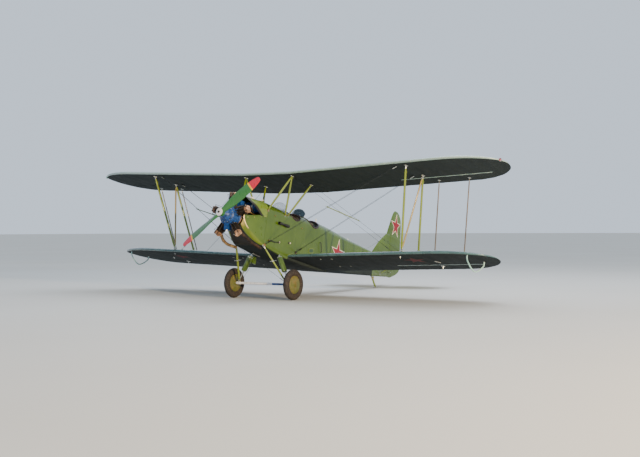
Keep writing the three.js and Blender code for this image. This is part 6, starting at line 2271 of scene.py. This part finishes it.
def make_controls(cockpit):
    """Dial board, stick, rudder bar and throttle of one cockpit."""
    board_y = cockpit["middle"] - cockpit["half"] + 0.01
    skin = Skin()
    half, _, shoulder, ridge = station(board_y)
    outline = [(0.3, 1.66), (0.34, 1.72), (0.35, 1.9)]
    outline += arch(half - 0.03, shoulder, ridge - 0.03, 8)[1:]
    ring = outline + [(-x, z) for x, z in reversed(outline[:-1])]
    skin.loft([[(x, board_y + d, z) for x, z in ring] for d in (0, 0.006)], 0)
    dials = ((-0.2, 1.93, 0.045), (-0.09, 1.99, 0.045), (0.03, 2.0, 0.04), (0.14, 1.96, 0.045),
             (-0.14, 1.83, 0.035), (-0.04, 1.87, 0.04), (0.07, 1.86, 0.04), (0.2, 1.83, 0.03),
             (-0.23, 1.78, 0.025), (0.0, 1.75, 0.03))
    for x, z, r in dials:
        face = Matrix.Translation((x, board_y + 0.006, z)) @ Matrix.Rotation(-math.pi / 2, 4, "X")
        skin.turned(((0.0, 0.0), (r, 0.0), (r, 0.008), (r - 0.004, 0.011), (r - 0.006, 0.006),
                     (0.0, 0.006)), face, 24, 1)
        skin.turned(((0.0, 0.006), (r - 0.0065, 0.006), (r - 0.0065, 0.0065), (0.0, 0.0065)), face,
                    24, 2)
        for t in turns(12):
            tick = face @ Matrix.Rotation(t, 4, "Z") @ Matrix.Translation((r - 0.011, 0, 0.0068))
            skin.block((-0.003, -0.0008, 0), (0.003, 0.0008, 0.0004), 3, tick)
        hand = face @ Matrix.Rotation(x * 20 + z * 9, 4, "Z") @ Matrix.Translation((0, 0, 0.0068))
        skin.block((-0.003, -0.001, 0), (r - 0.012, 0.001, 0.0006), 3, hand)
    stick_y = cockpit["middle"] - 0.02
    skin.tube(smooth_path(((0, stick_y, FLOOR_HEIGHT), (0, stick_y - 0.02, 1.3),
                           (0, stick_y, 1.5), (0, stick_y + 0.03, 1.62)), 6), 0.013, 12, 1)
    skin.rod((0, stick_y + 0.02, 1.58), (0, stick_y + 0.055, 1.7), 0.019, 0.016, 14, 4)
    skin.rod((0, stick_y, FLOOR_HEIGHT), (0, stick_y, FLOOR_HEIGHT + 0.05), 0.05, 0.03, 20, 1)
    bar_y = cockpit["start"] + 0.28
    skin.rod((-0.22, bar_y, 1.24), (0.22, bar_y, 1.24), 0.014, sides=12, finish=1)
    skin.rod((0, bar_y, FLOOR_HEIGHT), (0, bar_y, 1.27), 0.02, sides=12, finish=1)
    lever = (0.33, cockpit["middle"] - 0.05, 1.78)
    skin.block((-0.012, -0.06, -0.04), (0.012, 0.06, 0.02), 1, Matrix.Translation(lever))
    for aft, height in ((-0.03, 0.09), (0.02, 0.07)):
        top = Vector(lever) + Vector((-0.005, aft - 0.02, height))
        skin.rod(Vector(lever) + Vector((-0.005, aft, 0)), top, 0.004, sides=8, finish=1)
        skin.turned(((0.0, -0.012), (0.009, -0.008), (0.012, 0.0), (0.009, 0.008), (0.0, 0.012)),
                    Matrix.Translation(top), 12, 4)
    make_piece("controls_" + cockpit["name"], skin,
               ("black_enamel", "bright_aluminium", "grey_primer", "ivory_enamel", "black_rubber"),
               slot="bare_metal")


def cushion_skin(width, depth, thick, channels):
    """A crowned pad with sewn channels and pulled-in edges, centred on its underside."""
    rows = []
    count = 28
    for i in range(count + 1):
        v = 2 * i / count - 1
        row = []
        for j in range(count + 1):
            u = 2 * j / count - 1
            fall = (1 - abs(u) ** 4) ** 0.5 * (1 - abs(v) ** 4) ** 0.5
            seam = 0.82 + 0.18 * abs(math.sin(math.pi * channels * (u + 1) / 2)) ** 0.5
            pull = 1 - 0.035 * (1 - u * u) * abs(v) ** 6
            side = 1 - 0.035 * (1 - v * v) * abs(u) ** 6
            row.append((u * width / 2 * side, v * depth / 2 * pull, thick * fall * seam))
        rows.append(row)
    pad = Skin()
    pad.sheet(rows)
    droop = [(1 - (2 * i / count - 1) ** 6) ** 0.5 for i in range(count + 1)]
    pad.sheet([[(x, y, -0.012 * droop[j] * droop[i]) for j, (x, y, _) in enumerate(row)]
               for i, row in enumerate(rows)])
    return pad


def moved(skin, place):
    """The same shape at another place."""
    other = Skin()
    other.points = [place @ p for p in skin.points]
    other.bays, other.faces, other.finishes = list(skin.bays), list(skin.faces), list(skin.finishes)
    return other


def make_seats():
    """Metal bucket seats with padded leather cushions and lap straps."""
    for cockpit in COCKPITS:
        rear = cockpit["end"] - 0.045
        front = rear - 0.4
        bucket = Skin()
        rows = []
        for y, z, tilt in ((front, SEAT_PAN - 0.02, 0.0), (front + 0.02, SEAT_PAN, 0.0),
                           (rear - 0.08, SEAT_PAN - 0.02, 0.0), (rear - 0.02, SEAT_PAN + 0.04, 0.4),
                           (rear - 0.01, SEAT_PAN + 0.15, 1.0), (rear, SEAT_BACK - 0.06, 1.0),
                           (rear, SEAT_BACK, 1.0)):
            rise = 0.1
            row = [(-SEAT_HALF, y - rise * tilt, z + rise * (1 - tilt))]
            for i in range(9):
                u = 2 * i / 8 - 1
                row.append(((SEAT_HALF - 0.008) * u, y, z))
            row.append((SEAT_HALF, y - rise * tilt, z + rise * (1 - tilt)))
            rows.append(row)
        bucket.sheet(rows)
        name = cockpit["name"]
        piece = make_piece("seat_bucket_" + name, bucket, ("enamelled_sheet_olive",),
                           slot="green_metal", replaces=("seat_" + name,), sharp=60)
        thicken(piece, "Sheet thickness", 0.004, -1)
        legs = Skin()
        for side in (-1, 1):
            for y in (front + 0.06, rear - 0.06):
                legs.rod((side * 0.17, y, FLOOR_HEIGHT), (side * 0.17, y, SEAT_PAN - 0.02), 0.013,
                         sides=10)
        make_piece("seat_legs_" + name, legs, ("enamelled_tube_olive",), slot="green_strut")
        low = moved(cushion_skin(0.4, 0.3, 0.06, 4),
                    Matrix.Translation((0, (front + rear) / 2 - 0.03, SEAT_PAN + 0.012)))
        back = moved(cushion_skin(0.4, 0.34, 0.05, 4),
                     Matrix.Translation((0, rear - 0.03, SEAT_PAN + 0.24))
                     @ LYING_AHEAD)
        for part, pad in (("cushion_", low), ("back_pad_", back)):
            soft = make_piece(part + name, pad, ("black_leather",), slot="seat",
                              sharp=60, merge=True)
        straps = Skin()
        for side in (-1, 1):
            for (a, b), path in STRAPS:
                path = [(side * x, rear - ahead, SEAT_PAN + rise) for x, ahead, rise in path]
                straps.loft(swept(smooth_path(path, 6), [(-a, -b), (a, -b), (a, b), (-a, b)]))
        make_piece("straps_" + name, straps, ("cotton_webbing",), slot="seat")


# Stage
def make_stage():
    """Plain floor and surround, soft lights and the camera."""
    settings = bpy.context.scene.biplane_stage
    floor_mesh = bpy.data.meshes.new("floor")
    reach = 400
    floor_mesh.from_pydata([(-reach, -reach, 0), (reach, -reach, 0), (reach, reach, 0),
                            (-reach, reach, 0)], [], [(0, 1, 2, 3)])
    material, shader = new_finish("matt_floor", Roughness=0.9)
    shade(material, shader, mottle(material, 6.0, 3.0), settings.floor, linear("#cdc9c1"), 0.3, 0.8)
    floor_mesh.materials.append(material)
    floor = bpy.data.objects.new("floor", floor_mesh)
    bpy.context.scene.collection.objects.link(floor)

    world = bpy.data.worlds.new("surround")
    world.use_nodes = True
    world.node_tree.nodes["Background"].inputs["Color"].default_value = settings.sky
    world.node_tree.nodes["Background"].inputs["Strength"].default_value = settings.surround
    bpy.context.scene.world = world

    add_light("key", (26.5, -13.7, 4.5), (0, 0, 1.4), 0.4, settings.key, "#ffe2b0")
    add_light("top", (2.0, 4.0, 15.0), (0, 0, 1.0), 14.0, settings.fill, "#e4eeff")

    camera = bpy.data.objects.new("camera", bpy.data.cameras.new("camera"))
    camera.data.lens = settings.lens
    camera.data.sensor_width = 36
    camera.data.clip_end = 1000
    camera.matrix_world = camera_place()
    bpy.context.scene.collection.objects.link(camera)
    bpy.context.scene.camera = camera


def camera_place():
    """The photograph's viewpoint."""
    yaw, pitch, roll = 0.5887, 0.0017, -0.0033
    ahead = Vector((-math.sin(yaw) * math.cos(pitch), math.cos(yaw) * math.cos(pitch), math.sin(pitch)))
    right = Vector((math.cos(yaw), math.sin(yaw), 0))
    up = right.cross(ahead)
    across = right * math.cos(roll) + up * math.sin(roll)
    upright = up * math.cos(roll) - right * math.sin(roll)
    turn = Matrix((across, upright, -ahead)).transposed().to_4x4()
    return Matrix.Translation((13.7555, -20.6434, 1.5798)) @ turn


def add_light(name, place, target, size, power, colour):
    """A large soft area light that points at a target."""
    light = bpy.data.lights.new(name, "AREA")
    light.shape = "DISK"
    light.size = size
    light.energy = power
    light.color = linear(colour)[:3]
    lamp = bpy.data.objects.new(name, light)
    lamp.location = place
    lamp.rotation_euler = (Vector(target) - Vector(place)).to_track_quat("-Z", "Y").to_euler()
    bpy.context.scene.collection.objects.link(lamp)


def dress_solids():
    """Finishes for the solids that stay."""
    finish_of = {
        "green_skin": "doped_linen_olive", "wing_skin": "doped_linen_slate_painted_shade",
        "green_metal": "enamelled_sheet_olive", "green_strut": "enamelled_tube_olive",
        "pane": "bent_acrylic", "seat": "black_leather", "blue_case": "blue_enamel_and_painted_shadow",
        "black_iron": "black_cast_iron", "sooty_steel": "sooted_steel",
        "bare_metal": "bright_aluminium", "propeller_wood": "enamelled_beech",
        "tyre": "tyre_rubber",
    }
    for row in frame["record"]["subparts"]:
        mesh = frame["nodes"][row["node"]].data
        mesh.materials.clear()
        mesh.materials.append(FINISHES[finish_of[row["material_slot"]]])


# Steps
class BIPLANE_OT_stage(bpy.types.Operator):
    """Plain floor, soft light and the camera"""
    bl_idname = "biplane.stage"
    bl_label = "Stage"

    def execute(self, context):
        make_stage()
        return {"FINISHED"}


class BIPLANE_OT_finishes(bpy.types.Operator):
    """Finishes of every part, also on the solids that stay"""
    bl_idname = "biplane.finishes"
    bl_label = "Finishes"

    def execute(self, context):
        make_finishes()
        dress_solids()
        return {"FINISHED"}


class BIPLANE_OT_wings(bpy.types.Operator):
    """Centre section, wing panels and ailerons"""
    bl_idname = "biplane.wings"
    bl_label = "Wings"

    def execute(self, context):
        make_wings()
        return {"FINISHED"}


class BIPLANE_OT_fuselage(bpy.types.Operator):
    """Fuselage skin and its ends"""
    bl_idname = "biplane.fuselage"
    bl_label = "Fuselage"

    def execute(self, context):
        make_fuselage()
        return {"FINISHED"}


class BIPLANE_OT_nose(bpy.types.Operator):
    """Cowl side panels and hood"""
    bl_idname = "biplane.nose"
    bl_label = "Nose"

    def execute(self, context):
        make_cowl()
        return {"FINISHED"}


class BIPLANE_OT_windshields(bpy.types.Operator):
    """Bent panes in their frames"""
    bl_idname = "biplane.windshields"
    bl_label = "Windshields"

    def execute(self, context):
        make_windshields()
        return {"FINISHED"}


class BIPLANE_OT_cockpits(bpy.types.Operator):
    """Rims, tub, controls, seats and cushions"""
    bl_idname = "biplane.cockpits"
    bl_label = "Cockpits"

    def execute(self, context):
        make_rims()
        make_cockpits()
        make_seats()
        return {"FINISHED"}


class BIPLANE_OT_struts(bpy.types.Operator):
    """Interplane and cabane struts"""
    bl_idname = "biplane.struts"
    bl_label = "Struts"

    def execute(self, context):
        make_interplane_struts()
        make_cabane_struts()
        return {"FINISHED"}


class BIPLANE_OT_rigging(bpy.types.Operator):
    """Bracing wires, aileron links and tip bows"""
    bl_idname = "biplane.rigging"
    bl_label = "Rigging"

    def execute(self, context):
        make_rigging()
        make_links()
        make_bows()
        return {"FINISHED"}


class BIPLANE_OT_engine(bpy.types.Operator):
    """Crankcase, cylinders and exhaust pipes"""
    bl_idname = "biplane.engine"
    bl_label = "Engine"

    def execute(self, context):
        make_crankcase()
        make_engine_bay()
        make_cylinders()
        make_exhausts()
        return {"FINISHED"}


class BIPLANE_OT_propeller(bpy.types.Operator):
    """Propeller with its hub plates"""
    bl_idname = "biplane.propeller"
    bl_label = "Propeller"

    def execute(self, context):
        make_propeller()
        return {"FINISHED"}


class BIPLANE_OT_gear(bpy.types.Operator):
    """Axle, legs, wheels and tail skid"""
    bl_idname = "biplane.gear"
    bl_label = "Landing gear"

    def execute(self, context):
        make_axle()
        make_gear()
        make_wheels()
        make_skid()
        return {"FINISHED"}


class BIPLANE_OT_markings(bpy.types.Operator):
    """Stars on the fuselage, rudder and lower wings"""
    bl_idname = "biplane.markings"
    bl_label = "Markings"

    def execute(self, context):
        make_stars()
        return {"FINISHED"}


class BIPLANE_OT_fittings(bpy.types.Operator):
    """Small parts on the skins, and the tip lights"""
    bl_idname = "biplane.fittings"
    bl_label = "Fittings"

    def execute(self, context):
        make_side_fittings()
        make_wing_fittings()
        make_starboard_fittings()
        make_tip_lights()
        return {"FINISHED"}


class BIPLANE_OT_tail(bpy.types.Operator):
    """Fin, rudder, tailplane, elevators and their struts"""
    bl_idname = "biplane.tail"
    bl_label = "Tail"

    def execute(self, context):
        make_fin_and_rudder()
        make_tailplane()
        make_tail_struts()
        return {"FINISHED"}


OPERATORS = (
    BIPLANE_OT_stage, BIPLANE_OT_finishes, BIPLANE_OT_wings,
    BIPLANE_OT_fuselage, BIPLANE_OT_nose, BIPLANE_OT_windshields,
    BIPLANE_OT_cockpits, BIPLANE_OT_struts, BIPLANE_OT_rigging,
    BIPLANE_OT_engine, BIPLANE_OT_propeller, BIPLANE_OT_gear,
    BIPLANE_OT_tail, BIPLANE_OT_markings, BIPLANE_OT_fittings,
)
SETTINGS = (("biplane_paint", BiplanePaint), ("biplane_sizes", BiplaneSizes),
            ("biplane_stage", BiplaneStage))


class BIPLANE_PT_parts(bpy.types.Panel):
    """Lists the steps in their order"""
    bl_label = "Training biplane"
    bl_space_type = "VIEW_3D"
    bl_region_type = "UI"
    bl_category = "Biplane"

    def draw(self, context):
        for operator in OPERATORS:
            self.layout.operator(operator.bl_idname)


def register():
    """Register the settings, the operators and the panel."""
    for name, group in SETTINGS:
        bpy.utils.register_class(group)
        setattr(bpy.types.Scene, name, bpy.props.PointerProperty(type=group))
    for item in (*OPERATORS, BIPLANE_PT_parts):
        bpy.utils.register_class(item)


def unregister():
    """Take the panel, the operators and the settings away again."""
    for item in (BIPLANE_PT_parts, *reversed(OPERATORS)):
        bpy.utils.unregister_class(item)
    for name, group in SETTINGS:
        delattr(bpy.types.Scene, name)
        bpy.utils.unregister_class(group)


def main():
    """Build the whole aircraft on its stage."""
    register()
    for operator in OPERATORS:
        group, step = operator.bl_idname.split(".")
        getattr(getattr(bpy.ops, group), step)()


if __name__ == "__main__":
    main()
